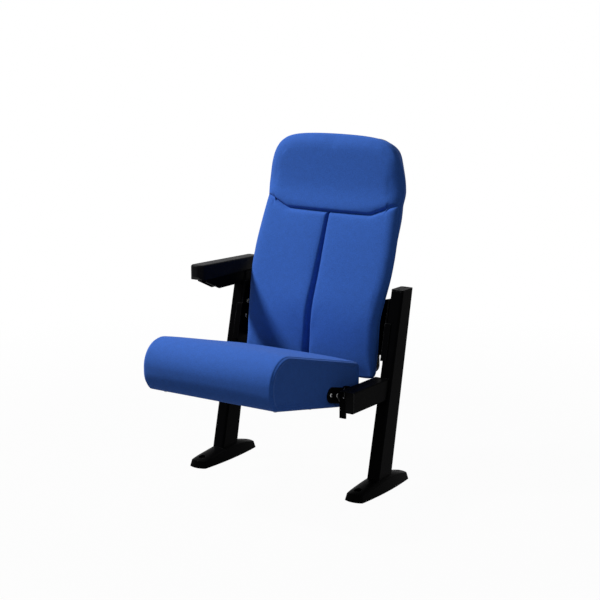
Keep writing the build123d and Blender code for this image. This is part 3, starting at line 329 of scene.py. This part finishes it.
# ---- Plywood boards and cheeks ----
# Raw birch plywood behind the foam and hardwood cheeks inside the seat.
def birch(name, along):
    """Pale wood: long grain streaks in one direction, rings from stretched noise."""
    material, start = new_finish(name)
    place = start.node("TexCoord", output="Object")
    stretched = start.node("VectorMath", {"operation": "MULTIPLY"}, {0: place, 1: along})
    streaks = {"Vector": stretched, "Scale": 1.0, "Detail": 6.0, "Distortion": 0.6}
    grain = start.node("TexNoise", values=streaks)
    close_finish(start, {
        "Base Color": grain.between(0.3, 0.72).colour((0.56, 0.40, 0.24, 1), (0.34, 0.21, 0.11, 1)),
        "Roughness": 0.55 + 0.2 * grain,
        "Normal": start.node("Bump", values={"Strength": 0.4, "Distance": 0.0002, "Height": grain}),
    })
    return material


board_wood = birch("birch_board", (160.0, 160.0, 7.0))
cheek_wood = birch("beech_cheek", (160.0, 9.0, 140.0))
dress(board_wood, "back_board")
dress(cheek_wood, "seat_board", "left_seat_cheek", "right_seat_cheek")


# ---- Back cushion ----
# Moulded foam under a sewn cloth cover: one head panel above a cranked cross seam, and two
# lower panels drawn together down the middle. The cover wraps over soft edges to the board.
BACK_BOTTOM = 0.312
BACK_BEND_Z = 0.486         # the back is nearly upright below this and reclined above
BACK_FRONT_Y = 0.037        # front face at the bottom edge
BACK_LOW_SLOPE = 0.05
BACK_HIGH_SLOPE = 0.362
BACK_FOAM = 0.052           # front face to board
BACK_CROWN = 0.011          # low down the edges lie this far behind the middle ...
BACK_FLAT = 0.0085          # ... and higher up the whole width lies this far back
BACK_FLAT_Z = (0.44, 0.60)  # heights between which one gives way to the other
HEAD_BEND_Z = 0.838         # above this the head's front stands nearly upright again
HEAD_SLOPE_LOSS = 0.32
BACK_LOW_RIM = 0.008        # round edge between front and side: tight along the bottom ...
BACK_RIM = 0.026            # ... this wide up the sides, and wider still around the head
HEAD_RIM_GAIN = 0.010
RIM_GAIN_Z = (0.74, 0.86)
BACK_RIM_DEPTH = 0.021      # the same edge measured front to rear, and its loss at the top
HEAD_RIM_LOSS = 0.009
RIM_LOSS_Z = (0.86, 0.96)
BACK_DRAW = 0.013           # how far the side pulls in at the board: low down, ...
WAIST_DRAW = 0.0014         # ... beside the head seam ...
HEAD_DRAW = 0.021           # ... and around the head
WAIST_DRAW_Z = (0.66, 0.78)
HEAD_DRAW_Z = (0.80, 0.93)
HEAD_SEAM_Z = 0.773
HEAD_SEAM_HALF = 0.148
HEAD_SEAM_RISE = 0.032
HEAD_SEAM_END = 0.222
BACK_STEP = 0.0068          # spacing of the cover's mesh
BACK_PRESSURE = 3.0         # foam pressing the cover out, and the most that it moves
BACK_SWELL = 0.005
SEAM_SLOT = 0.0012          # the head seam: flat bottom, steep wall, round shoulders
SEAM_WALL = 0.0035
SEAM_WALL_DEPTH = 0.0070
SHOULDER_DEPTH = 0.0060
HEAD_SHOULDER = 0.026
PANEL_SHOULDER = 0.015
GROOVE_SLOT = 0.0020        # the seam down the middle, and how much its slot widens downward
GROOVE_WIDENING = 0.0045
GROOVE_WALL = 0.0040
GROOVE_WALL_DEPTH = 0.0100
GROOVE_SHOULDER = 0.020
# The right half of the outline. Its foot and bottom corner are a few points, from the middle out.
LOW_CORNER = (0.2265, 0.3138)
BACK_UNDER = ((0.0, 0.3120), (0.0700, 0.3120), (0.1500, 0.3120), (0.2200, 0.3122))
BACK_FOOT = ((0.2290, 0.3190), (0.2305, 0.3450), (0.2320, 0.4200))
# Above the foot it flares to the lower panels, draws in to the waist at the head seam's ends,
# springs out to the head and rounds over the head's corner to the top.
FLARE_Z = (0.455, 0.625)
PANEL_HALF = 0.2458
NARROW_Z = (0.650, 0.800)
NARROW_POWER = 1.4
WAIST_HALF = 0.2330
HEAD_HALF = 0.2382
HEAD_WIDE_Z = 0.842
HIGH_CORNER = (0.200, 0.968)    # here the outline runs at 45 degrees
SHOULDER_HANDLES = (0.060, 0.025)
CROWN_HANDLES = (0.030, 0.160)
BACK_TOP = 1.002

def smooth_run(points, count):
    """A smooth curve through the points, as count even points: cubic pieces whose slope at a
    point follows its two neighbours."""
    points = np.array(points, float)
    chord = np.hypot(*np.diff(points, axis=0).T)
    at = np.concatenate([[0.0], np.cumsum(chord)])
    slope = np.gradient(points, at, axis=0)
    dense = np.linspace(0.0, at[-1], 2 * count)
    k = np.clip(np.searchsorted(at, dense, side="right") - 1, 0, len(at) - 2)
    h = (at[k + 1] - at[k])[:, None]
    t = ((dense - at[k]) / (at[k + 1] - at[k]))[:, None]
    curve = ((2 * t**3 - 3 * t**2 + 1) * points[k] + (t**3 - 2 * t**2 + t) * h * slope[k]
             + (3 * t**2 - 2 * t**3) * points[k + 1] + (t**3 - t**2) * h * slope[k + 1])
    return resample(curve, np.linspace(0, 1, count))


def bent(start, out, end, back):
    """A cubic curve from start to end: p = (1-t)^3 a + 3(1-t)^2 t b + 3(1-t) t^2 c + t^3 d, whose
    inner points b and c lie off its ends by the handles out and back."""
    a, d = np.array(start), np.array(end)
    b, c = a + out, d + back
    t = np.linspace(0, 1, 500)[:, None]
    return (1 - t)**3 * a + 3 * (1 - t)**2 * t * b + 3 * (1 - t) * t**2 * c + t**3 * d


def back_side():
    """The outline's right side from the foot up to where the head is widest: the half width is
    the foot's, plus a smooth step out, less a power of the height, plus a smooth step out."""
    z = np.linspace(BACK_FOOT[-1][1], HEAD_WIDE_Z, 1500)
    foot = BACK_FOOT[-1][0]
    narrowing = np.clip((z - NARROW_Z[0]) / (NARROW_Z[1] - NARROW_Z[0]), 0.0, 1.0) ** NARROW_POWER
    half = foot + (PANEL_HALF - foot) * ease(z, *FLARE_Z) - (PANEL_HALF - WAIST_HALF) * narrowing
    return np.stack([half + (HEAD_HALF - WAIST_HALF) * ease(z, NARROW_Z[1], HEAD_WIDE_Z), z], axis=-1)


def resample(curve, shares):
    """Points of a polyline at given shares of its length."""
    step = np.sqrt((np.diff(curve, axis=0) ** 2).sum(axis=1))
    run = np.concatenate([[0.0], np.cumsum(step)])
    return np.stack([np.interp(shares * run[-1], run, column) for column in curve.T], axis=-1)


def graded(length, spacing, fine):
    """Shares from 0 to 1 whose steps start at fine and grow to spacing."""
    steps = [0.0]
    step = fine
    while steps[-1] < length:
        steps.append(steps[-1] + step)
        step = min(spacing, step * 1.22)
    return np.array(steps) / steps[-1]


def patch(low, high, left, right):
    """Fills four edges: straight blends across and along, less the blend of the four corners."""
    s = share_of(low, high)
    t = share_of(left, right).transpose(1, 0, 2)
    across = (1 - t) * low[None] + t * high[None]
    along = (1 - s) * left[:, None] + s * right[:, None]
    corner = ((1 - t) * ((1 - s) * low[0] + s * low[-1])) + t * ((1 - s) * high[0] + s * high[-1])
    return across + along - corner


def share_of(first, second):
    """Mean share of length run at each point of two edges that face each other."""
    shares = []
    for edge in (first, second):
        step = np.sqrt((np.diff(edge, axis=0) ** 2).sum(axis=1))
        run = np.concatenate([[0.0], np.cumsum(step)])
        shares.append(run / run[-1])
    return ((shares[0] + shares[1]) / 2)[None, :, None]


def outward(loop):
    """Unit normals of a closed anticlockwise loop in a plane."""
    along = np.roll(loop, -1, axis=0) - np.roll(loop, 1, axis=0)
    normal = np.stack([along[:, 1], -along[:, 0]], axis=-1)
    return normal / np.linalg.norm(normal, axis=1)[:, None]


def faces_of(rows, columns, closed):
    """Quads of a grid; a closed one joins its last column to its first."""
    r = np.arange(rows - 1)[:, None]
    c = np.arange(columns if closed else columns - 1)[None, :]
    d = (c + 1) % columns
    this_row, next_row = r * columns, (r + 1) * columns
    quads = np.stack([this_row + c, this_row + d, next_row + d, next_row + c], axis=-1)
    return quads.reshape(-1, 4)


def sewn_form(name, grids):
    """One closed mesh from grids of places (x, y, z) with cloth positions (u, v) in metres and
    the numbers of the rows that are sewn to a crease."""
    places, weaves, quads, sewn, used = [], [], [], [], 0
    for place, weave, closed, sewn_rows in grids:
        rows, columns = place.shape[:2]
        sewn.append(np.repeat(np.isin(np.arange(rows), sewn_rows), columns))
        places.append(place.reshape(-1, 3))
        weaves.append(weave.reshape(-1, 2))
        quads.append(faces_of(rows, columns, closed) + used)
        used += rows * columns
    places, weaves, quads = (np.concatenate(part) for part in (places, weaves, quads))
    mesh = bpy.data.meshes.new(name)
    mesh.from_pydata(places.tolist(), [], quads.tolist())
    layer = mesh.uv_layers.new(name="weave")
    layer.data.foreach_set("uv", weaves[quads.reshape(-1)].astype(np.float32).reshape(-1))
    marks = mesh.attributes.new("sewn", "FLOAT", "POINT")
    marks.data.foreach_set("value", np.concatenate(sewn).astype(np.float32))
    shell = bmesh.new()
    shell.from_mesh(mesh)
    bmesh.ops.remove_doubles(shell, verts=shell.verts, dist=2e-5)
    bmesh.ops.recalc_face_normals(shell, faces=shell.faces)
    shell.to_mesh(mesh)
    shell.free()
    mesh.shade_smooth()
    piece = bpy.data.objects.new(name, mesh)
    bpy.context.scene.collection.objects.link(piece)
    return piece


def points_of(piece):
    """Places of all the piece's vertices as one array."""
    flat = np.zeros(len(piece.data.vertices) * 3, np.float32)
    piece.data.vertices.foreach_get("co", flat)
    return flat.reshape(-1, 3).astype(float)


def take_sewn(piece):
    """Which vertices are sewn down. The mark itself leaves the mesh."""
    marks = np.zeros(len(piece.data.vertices), np.float32)
    piece.data.attributes["sewn"].data.foreach_get("value", marks)
    piece.data.attributes.remove(piece.data.attributes["sewn"])
    return marks > 0.5


def evened(piece, move, held):
    """The moves, each averaged with its neighbours' a number of times, so that fine and coarse
    parts of the mesh swell alike."""
    ends = np.zeros(len(piece.data.edges) * 2, np.int32)
    piece.data.edges.foreach_get("vertices", ends)
    first, second = ends.reshape(-1, 2).T
    count = np.bincount(ends, minlength=len(move))[:, None]
    for _ in range(10):
        total = np.zeros_like(move)
        np.add.at(total, first, move[second])
        np.add.at(total, second, move[first])
        move = np.where(held[:, None], 0.0, 0.4 * move + 0.6 * total / count)
    return move


def put_points(piece, places):
    piece.data.vertices.foreach_set("co", places.astype(np.float32).reshape(-1))
    piece.data.update()


def swell(piece, held, pressure, limit):
    """Blows the cover up like cloth over pressed foam. Held vertices stay, others move at most limit."""
    before = points_of(piece)
    sewn = piece.vertex_groups.new(name="sewn")
    sewn.add(np.flatnonzero(held).tolist(), 1.0, "REPLACE")
    cloth = piece.modifiers.new("swell", "CLOTH")
    cloth.settings.quality = 5
    cloth.settings.mass = 0.3
    cloth.settings.tension_stiffness = 12.0
    cloth.settings.compression_stiffness = 12.0
    cloth.settings.bending_stiffness = 0.6
    cloth.settings.vertex_group_mass = "sewn"
    cloth.settings.use_pressure = True
    cloth.settings.uniform_pressure_force = pressure
    cloth.settings.effector_weights.gravity = 0.0
    cloth.collision_settings.use_collision = False
    cloth.point_cache.frame_start = 1
    cloth.point_cache.frame_end = 20
    for number in range(1, 21):
        bpy.context.scene.frame_set(number)
    blown = piece.evaluated_get(bpy.context.evaluated_depsgraph_get())
    flat = np.zeros(len(before) * 3, np.float32)
    blown.data.vertices.foreach_get("co", flat)
    move = flat.reshape(-1, 3) - before
    piece.modifiers.remove(cloth)
    piece.vertex_groups.clear()
    bpy.context.scene.frame_set(1)
    move = evened(piece, move, held)
    length = np.linalg.norm(move, axis=1)[:, None]
    capped = limit * np.tanh(length / limit)
    put_points(piece, before + move * capped / np.maximum(length, 1e-9))


def refine(piece):
    """One level of subdivision, the same in the view and in the render."""
    finer = piece.modifiers.new("finer", "SUBSURF")
    finer.levels = 1
    finer.render_levels = 1


THREAD = 0.0011             # spacing of the cloth's threads


def woven_cloth(name, colour):
    """Blue plain-weave cloth: crossed threads for the bump, mixed yarn, a soft sheen."""
    material, start = new_finish(name)
    weave = start.node("UVMap", {"uv_map": "weave"})
    axis = [start.node("SeparateXYZ", values={"Vector": weave}, output=letter) for letter in ("X", "Y")]
    wave = [start.math("SINE", part * (np.pi / THREAD), 0.0) for part in axis]
    checks = 0.5 + 0.5 * (wave[0] * wave[1])
    warp = start.node("VectorMath", {"operation": "MULTIPLY"}, {0: weave, 1: (1100.0, 90.0, 1.0)})
    weft = start.node("VectorMath", {"operation": "MULTIPLY"}, {0: weave, 1: (90.0, 1100.0, 1.0)})
    yarn_up = start.node("TexNoise", values={"Vector": warp, "Scale": 1.0, "Detail": 2.0})
    yarn_over = start.node("TexNoise", values={"Vector": weft, "Scale": 1.0, "Detail": 2.0})
    pile = start.node("TexNoise", values={"Vector": weave, "Scale": 55.0, "Detail": 4.0})
    slub = start.node("TexNoise", values={"Vector": weave, "Scale": 260.0, "Detail": 3.0})
    yarn = 0.5 * (yarn_up + yarn_over)
    light = yarn * 0.42 + pile * 0.14 + checks * 0.12 + slub * 0.32
    deep = tuple(0.70 * c for c in colour)
    pale = tuple(1.32 * c for c in colour)
    height = checks * 0.55 + yarn * 0.45 + slub * 0.25
    close_finish(start, {
        "Base Color": light.between(0.32, 0.68).colour((*deep, 1), (*pale, 1)),
        "Roughness": 0.82 + 0.12 * yarn,
        "Normal": start.node("Bump", values={"Strength": 0.55, "Distance": 0.0005, "Height": height}),
        "Sheen Weight": 0.10,
        "Sheen Roughness": 0.45,
        "Sheen Tint": (0.45, 0.62, 1.0, 1),
        "IOR": 1.35,
    })
    return material


cloth_blue = woven_cloth("blue_cloth", (0.020, 0.092, 0.392))


def ease(value, low, high):
    """0 below low, 1 above high, and a smooth S between them."""
    t = np.clip((value - low) / (high - low), 0.0, 1.0)
    return t * t * (3 - 2 * t)


def board_face(z):
    """Y of the board's front face: two straight lines joined by a soft bend."""
    low = BACK_FRONT_Y + (z - BACK_BOTTOM) * BACK_LOW_SLOPE
    bend = 0.5 * (z - BACK_BEND_Z + np.sqrt((z - BACK_BEND_Z) ** 2 + 0.03**2))
    return low + bend * (BACK_HIGH_SLOPE - BACK_LOW_SLOPE) + BACK_FOAM


def back_face(x, z):
    """Y of the foam's front, before the board by the foam's depth. Low down it bows back towards
    the edges as the square of x; higher up it lies flat, and it bends upright in the head."""
    flat = ease(z, *BACK_FLAT_Z)
    bow = BACK_CROWN * (x / 0.24) ** 2
    bend = 0.5 * (z - HEAD_BEND_Z + np.sqrt((z - HEAD_BEND_Z) ** 2 + 0.03**2))
    return board_face(z) - BACK_FOAM + flat * BACK_FLAT + (1.0 - flat) * bow - bend * HEAD_SLOPE_LOSS


def seam_height(x):
    """Z of the head seam: level in the middle, then rising straight to its ends."""
    out = np.abs(x) - HEAD_SEAM_HALF
    soft = 0.5 * (out + np.sqrt(out**2 + 0.006**2))
    slope = HEAD_SEAM_RISE / (HEAD_SEAM_END - HEAD_SEAM_HALF)
    return HEAD_SEAM_Z + np.minimum(soft * slope, HEAD_SEAM_RISE)


def nearest(line, point):
    return int(np.argmin(((line - point) ** 2).sum(axis=1)))


def mirrored(half_run):
    """A run from the right edge to the middle, carried on to the left edge, left end first."""
    left = half_run * (-1, 1)
    return np.concatenate([left[:-1], half_run[::-1]])


half_shares = 1.0 - graded(0.225, BACK_STEP, 0.0016)[::-1]
cut_rows = 1.0 - graded(0.490, BACK_STEP, 0.0018)[::-1]
head_rows = graded(0.155, BACK_STEP, 0.0018)
slant = np.array([-1.0, 1.0]) / np.sqrt(2.0)
foot_line = smooth_run((*BACK_UNDER, LOW_CORNER, *BACK_FOOT), 900)
head_side = (HEAD_HALF, HEAD_WIDE_Z)
shoulder_line = bent(head_side, (0.0, SHOULDER_HANDLES[0]), HIGH_CORNER, -SHOULDER_HANDLES[1] * slant)
crown_line = bent(HIGH_CORNER, CROWN_HANDLES[0] * slant, (0.0, BACK_TOP), (CROWN_HANDLES[1], 0.0))
half_line = np.concatenate([foot_line, back_side()[1:], shoulder_line[1:], crown_line[1:]])
low_cut, high_cut = nearest(half_line, LOW_CORNER), nearest(half_line, HIGH_CORNER)
side_curve = half_line[low_cut:high_cut + 1]
cut = np.argmin(np.abs(side_curve[:, 1] - seam_height(side_curve[:, 0])))
lower_side = resample(side_curve[:cut + 1], cut_rows)
upper_side = resample(side_curve[cut:], head_rows)
under = mirrored(resample(half_line[low_cut::-1], half_shares))
over = mirrored(resample(half_line[high_cut:], half_shares))
right_side = np.concatenate([lower_side, upper_side[1:]])
seam_row = len(lower_side) - 1
outline = np.concatenate([under[:-1], right_side[:-1], over[:0:-1], (right_side * (-1, 1))[:0:-1]])
facing = outward(outline)
above_foot = ease(outline[:, 1], 0.320, 0.400)
rim = BACK_LOW_RIM + (BACK_RIM - BACK_LOW_RIM) * above_foot
rim = rim + HEAD_RIM_GAIN * ease(outline[:, 1], *RIM_GAIN_Z)
rim_depth = BACK_LOW_RIM + (BACK_RIM_DEPTH - BACK_LOW_RIM) * above_foot
rim_depth = rim_depth - HEAD_RIM_LOSS * ease(outline[:, 1], *RIM_LOSS_Z)
rim = rim[:, None]
inner = outline - rim * facing
columns, rows = len(under), len(right_side)
low_edge = inner[:columns]
right_edge = inner[columns - 1:columns - 1 + rows]
high_edge = inner[columns + rows - 2:2 * columns + rows - 2][::-1]
left_edge = np.concatenate([inner[:1], inner[:-rows:-1]])
seam_ends = (left_edge[seam_row, 0], right_edge[seam_row, 0])
seam_x = np.interp(share_of(low_edge, high_edge)[0, :, 0], (0, 1), seam_ends)
seam_edge = np.stack([seam_x, seam_height(seam_x)], axis=-1)
seam_edge[0], seam_edge[-1] = left_edge[seam_row], right_edge[seam_row]
lower = patch(low_edge, seam_edge, left_edge[:seam_row + 1], right_edge[:seam_row + 1])
upper = patch(seam_edge, high_edge, left_edge[seam_row:], right_edge[seam_row:])
front = np.concatenate([lower, upper[1:]])
front_place = np.stack([front[..., 0], back_face(front[..., 0], front[..., 1]), front[..., 1]], axis=-1)

turn = np.radians([0.0, 15.0, 30.0, 45.0, 58.0, 70.0, 81.0, 90.0])[:, None]
crease = np.array([0.0, 0.0, 0.0, 0.0, 0.0, 0.0004, 0.0004, -0.0026])[:, None, None]
edge_xz = inner[None] + (rim * np.sin(turn)[..., None] + crease) * facing[None]
edge_y = back_face(edge_xz[..., 0], edge_xz[..., 1]) + rim_depth * (1 - np.cos(turn))
edge_run = inner[None] + rim * turn[..., None] * facing[None]
down = np.array([0.06, 0.16, 0.30, 0.50, 0.75, 1.0])[:, None]
belly = np.array([0.0008, 0.0014, 0.0012, 0.0006, 0.0, 0.0])[:, None]
pull = BACK_DRAW + (WAIST_DRAW - BACK_DRAW) * ease(outline[:, 1], *WAIST_DRAW_Z)
pull = pull + (HEAD_DRAW - WAIST_DRAW) * ease(outline[:, 1], *HEAD_DRAW_Z)
side_xz = outline[None] + (belly - pull * down**1.5)[..., None] * facing[None]
side_y = (1 - down) * edge_y[-1][None] + down * board_face(side_xz[..., 1])
side_run = edge_run[-1][None] + (down * 0.02)[..., None] * facing[None]
ring_xz = np.concatenate([edge_xz, side_xz])
ring_y = np.concatenate([edge_y, side_y])
ring_place = np.stack([ring_xz[..., 0], ring_y, ring_xz[..., 1]], axis=-1)
ring_weave = np.concatenate([edge_run, side_run])

tacked = side_xz[-1]
rear_low = tacked[:columns]
rear_right = tacked[columns - 1:columns - 1 + rows]
rear_high = tacked[columns + rows - 2:2 * columns + rows - 2][::-1]
rear_left = np.concatenate([tacked[:1], tacked[:-rows:-1]])
rear = patch(rear_low, rear_high, rear_left, rear_right)
rear_place = np.stack([rear[..., 0], board_face(rear[..., 1]), rear[..., 1]], axis=-1)

back_cushion = sewn_form("back_cushion_cover", [
    (front_place, front, False, ()),
    (ring_place, ring_weave, True, (len(turn) - 1,)),
    (rear_place, rear, False, ()),
])
places = points_of(back_cushion)
on_crease = take_sewn(back_cushion)
x, y, z = places.T
off_seam = np.where(z > seam_height(x), 1.0, -1.0) * np.abs(z - seam_height(x)) * 0.96
on_seam = (np.abs(off_seam) < 0.0012) & (y < back_face(x, z) + 0.004)
on_middle = (np.abs(x) < 0.0010) & (z < HEAD_SEAM_Z) & (y < back_face(x, z) + 0.004)
on_board = y > board_face(z) - 0.006
swell(back_cushion, on_seam | on_middle | on_board | on_crease, BACK_PRESSURE, BACK_SWELL)

places = points_of(back_cushion)
in_front = 1.0 - np.clip((y - back_face(x, z)) / 0.019, 0.0, 1.0)


def channel(distance, slot, shoulder, depth):
    """A sewn-down channel: flat for the slot's half width, then a round shoulder back up."""
    rise = np.clip((np.abs(distance) - slot) / shoulder, 0.0, 1.0)
    return depth * (1.0 - np.sqrt(1.0 - (1.0 - rise) ** 2))


def channel_wall(distance, slot, wall, depth):
    """The steep part of a channel, between its slot and its shoulder."""
    return depth * (1.0 - ease(np.abs(distance), slot, slot + wall))


seam_fade = np.clip((0.238 - np.abs(x)) / 0.014, 0.0, 1.0)
shoulder = np.where(off_seam > 0, HEAD_SHOULDER, PANEL_SHOULDER)
seam_dip = channel(off_seam, 1.25 * SEAM_SLOT, shoulder, SHOULDER_DEPTH)
seam_dip += channel_wall(off_seam, SEAM_SLOT, SEAM_WALL, SEAM_WALL_DEPTH)
open_low = np.clip((HEAD_SEAM_Z + 0.003 - z) / 0.006, 0.0, 1.0)
slot = GROOVE_SLOT + GROOVE_WIDENING * ease(HEAD_SEAM_Z - z, 0.0, 0.32)
middle_dip = channel(x, slot, GROOVE_SHOULDER, SHOULDER_DEPTH)
middle_dip += channel_wall(x, slot, GROOVE_WALL, GROOVE_WALL_DEPTH)
places[:, 1] += np.maximum(seam_dip * seam_fade, middle_dip * open_low) * in_front
put_points(back_cushion, places)
refine(back_cushion)
back_cushion.data.materials.append(cloth_blue)
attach(back_cushion, "frame")
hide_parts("back_cushion")


# ---- Seat cushion ----
# A thick wedge of foam with a big round nose. Its cloth runs over the top and round the nose,
# and flat side panels are sewn in, each with a second seam just above the underside.
SEAT_HALF = 0.218
SEAT_REAR_Y = -0.008
SEAT_FRONT_Y = -0.448
SEAT_REAR_LOW = 0.244
SEAT_REAR_TOP = 0.372
SEAT_LOW_RISE = np.tan(np.radians(10.6))
SEAT_TOP_RISE = np.tan(np.radians(14.0))
SEAT_NOSE_R = 0.074
SEAT_CHIN_R = 0.068
SEAT_CROWN = 0.0035
SEAT_TRIM = 0.008           # the flat underside cuts this much off the round chin
SEAT_REAR_R = 0.020
SEAT_HEEL_R = 0.018
SEAT_STEP = 0.0072
SIDE_SEAM_HEIGHT = 0.017
SIDE_SEAM_HALF = 0.0065
SIDE_SEAM_DEPTH = 0.0045
SIDE_BELLY = 0.0012
SEAT_PRESSURE = 3.0
SEAT_SWELL = 0.005


def rounded(corners, radii):
    """A closed outline through the corners, each replaced by an arc of its radius."""
    corners = np.array(corners, float)
    runs = []
    for number, radius in enumerate(radii):
        here = corners[number]
        back = corners[number - 1] - here
        ahead = corners[(number + 1) % len(corners)] - here
        back /= np.linalg.norm(back)
        ahead /= np.linalg.norm(ahead)
        half = 0.5 * np.arccos(np.clip(back @ ahead, -1, 1))
        middle = here + (back + ahead) / np.linalg.norm(back + ahead) * radius / np.sin(half)
        first = np.arctan2(*(here + back * radius / np.tan(half) - middle)[::-1])
        last = np.arctan2(*(here + ahead * radius / np.tan(half) - middle)[::-1])
        sweep = (last - first + np.pi) % (2 * np.pi) - np.pi
        angle = first + sweep * np.linspace(0, 1, 40)
        runs.append(middle + radius * np.stack([np.cos(angle), np.sin(angle)], axis=-1))
    return np.concatenate(runs)


def seat_profile(inset, crown):
    """Side view (y, z) of the foam, anticlockwise seen from +X, from the lower rear corner's arc."""
    rear = SEAT_REAR_Y - inset
    front = SEAT_FRONT_Y + inset
    low = SEAT_REAR_LOW - SEAT_TRIM + 0.4 * inset
    top = SEAT_REAR_TOP - inset + crown
    reach = rear - front
    front_top, front_low = top + reach * SEAT_TOP_RISE, low + reach * SEAT_LOW_RISE
    corners = [(rear, low), (rear, top), (front, front_top), (front, front_low)]
    line = rounded(corners, (SEAT_HEEL_R, SEAT_REAR_R, SEAT_NOSE_R, SEAT_CHIN_R))
    line[:, 1] = np.maximum(line[:, 1], under_height(line[:, 0], 0.0) + 0.4 * inset)
    return line


def under_height(y, above):
    """Z of a line parallel to the flat underside."""
    return SEAT_REAR_LOW + (SEAT_REAR_Y - y) * SEAT_LOW_RISE + above


def seat_loop(inset, crown):
    """The profile cut at the panel's six corners: underside, seam band and panel at the rear,
    top, panel and seam band at the front. All stations give the same number of points."""
    line = seat_profile(inset, crown)
    rear_low = nearest(line, (SEAT_REAR_Y, SEAT_REAR_LOW))
    line = np.roll(line, -rear_low, axis=0)
    line = np.concatenate([line, line[:1]])
    lift = line[:, 1] - under_height(line[:, 0], SIDE_SEAM_HEIGHT)
    rear_seam = int(np.argmax(lift > 0))
    rear_top = nearest(line, (SEAT_REAR_Y, SEAT_REAR_TOP))
    front_top = nearest(line, (SEAT_FRONT_Y, SEAT_REAR_TOP + 0.438 * SEAT_TOP_RISE))
    front_seam = len(lift) - 1 - int(np.argmax(lift[::-1] > 0))
    front_low = nearest(line, (SEAT_FRONT_Y + 0.026, under_height(SEAT_FRONT_Y + 0.026, 0.0)))
    keys = (0, rear_seam, rear_top, front_top, front_seam, front_low, len(line) - 1)
    shares = (BAND_ROWS, PANEL_ROWS, LONG_COLUMNS, 1 - PANEL_ROWS[::-1], 1 - BAND_ROWS[::-1], LONG_COLUMNS)
    runs = [resample(line[a:b + 1], part)[:-1] for a, b, part in zip(keys, keys[1:], shares)]
    return np.concatenate(runs)


BAND_ROWS = 1.0 - graded(0.017, 0.0045, 0.0018)[::-1]
PANEL_ROWS = graded(0.165, SEAT_STEP, 0.0018)
LONG_COLUMNS = np.linspace(0, 1, 62)
half_span = 1.0 - graded(SEAT_HALF, SEAT_STEP, 0.0016)
across = np.concatenate([-half_span[:-1], half_span[::-1]])
edge = np.clip((np.abs(across) * SEAT_HALF - (SEAT_HALF - 0.007)) / 0.007, 0.0, 1.0)
insets = 0.0012 * (1.0 - np.sqrt(1.0 - edge**2 * 0.98))
crowns = SEAT_CROWN * (1.0 - 0.10 * np.abs(across) ** 4)
loops = [seat_loop(inset, crown) for inset, crown in zip(insets, crowns)]
tube_yz = np.stack(loops)
tube_x = np.broadcast_to((across * (SEAT_HALF - 0.0024))[:, None], tube_yz.shape[:2])
tube_place = np.concatenate([tube_x[..., None], tube_yz], axis=-1)
step = np.sqrt(((np.roll(tube_yz, -1, axis=1) - tube_yz) ** 2).sum(axis=-1)).mean(axis=0)
run = np.concatenate([[0.0], np.cumsum(step)[:-1]])
tube_weave = np.stack([tube_x, np.broadcast_to(run, tube_x.shape)], axis=-1)


def side_panel(sign):
    """Rings over the sewn edge, then the seam band and the panel, filled from their edges."""
    rim = tube_yz[-1] if sign > 0 else tube_yz[0]
    normal = outward(rim)
    reach = np.array([0.0, 0.0014, 0.0030, 0.0052, 0.0080, 0.0110, 0.0150])
    stand = np.array([-0.0024, -0.0022, 0.0020, 0.0036, 0.0032, 0.0014, 0.0])
    ring_yz = rim[None] - reach[:, None, None] * normal[None]
    ring_x = np.broadcast_to((sign * (SEAT_HALF + stand))[:, None], ring_yz.shape[:2])
    rings = np.concatenate([ring_x[..., None], ring_yz], axis=-1)
    last = ring_yz[-1]
    a = len(BAND_ROWS) - 1
    b = a + len(PANEL_ROWS) - 1
    c = b + len(LONG_COLUMNS) - 1
    d = c + len(PANEL_ROWS) - 1
    e = d + len(BAND_ROWS) - 1
    rear_band, rear_panel, top = last[:a + 1], last[a:b + 1], last[b:c + 1]
    front_panel, front_band = last[c:d + 1][::-1], last[d:e + 1][::-1]
    bottom = np.concatenate([last[e:], last[:1]])[::-1]
    seam = resample(np.stack([last[a], last[d]]), LONG_COLUMNS)
    band = patch(bottom, seam, rear_band, front_band)
    panel = patch(seam, top, rear_panel, front_panel)
    sheet = np.concatenate([band, panel[1:]])
    sheet_x = np.full(sheet.shape[:2] + (1,), sign * (SEAT_HALF + stand[-1]))
    return rings, ring_yz, np.concatenate([sheet_x, sheet], axis=-1), sheet


grids = [(tube_place, tube_weave, True, ())]
for sign in (-1, 1):
    rings, ring_flat, sheet, sheet_flat = side_panel(sign)
    grids.append((rings, ring_flat, True, (0, 1)))
    grids.append((sheet, sheet_flat, False, ()))
seat_cushion = sewn_form("seat_cushion_cover", grids)
places = points_of(seat_cushion)
x, y, z = places.T
held = take_sewn(seat_cushion) | (np.abs(x) > SEAT_HALF - 0.0034) | (z < under_height(y, 0.0) + 0.004)
swell(seat_cushion, held, SEAT_PRESSURE, SEAT_SWELL)
places = points_of(seat_cushion)
on_side = np.abs(x) > SEAT_HALF - 0.0016
lift = z - under_height(y, SIDE_SEAM_HEIGHT)
groove = np.clip(1.0 - np.abs(lift) / SIDE_SEAM_HALF, 0.0, 1.0)
belly = np.clip(lift / 0.05, 0.0, 1.0) * np.clip((0.44 + y) / 0.05, 0.0, 1.0)
dip = SIDE_SEAM_DEPTH * (1.0 - np.sqrt(1.0 - groove**2))
places[:, 0] -= np.sign(x) * on_side * (dip - SIDE_BELLY * belly)
put_points(seat_cushion, places)
refine(seat_cushion)
seat_cushion.data.materials.append(cloth_blue)
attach(seat_cushion, "seat")
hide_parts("seat_cushion")
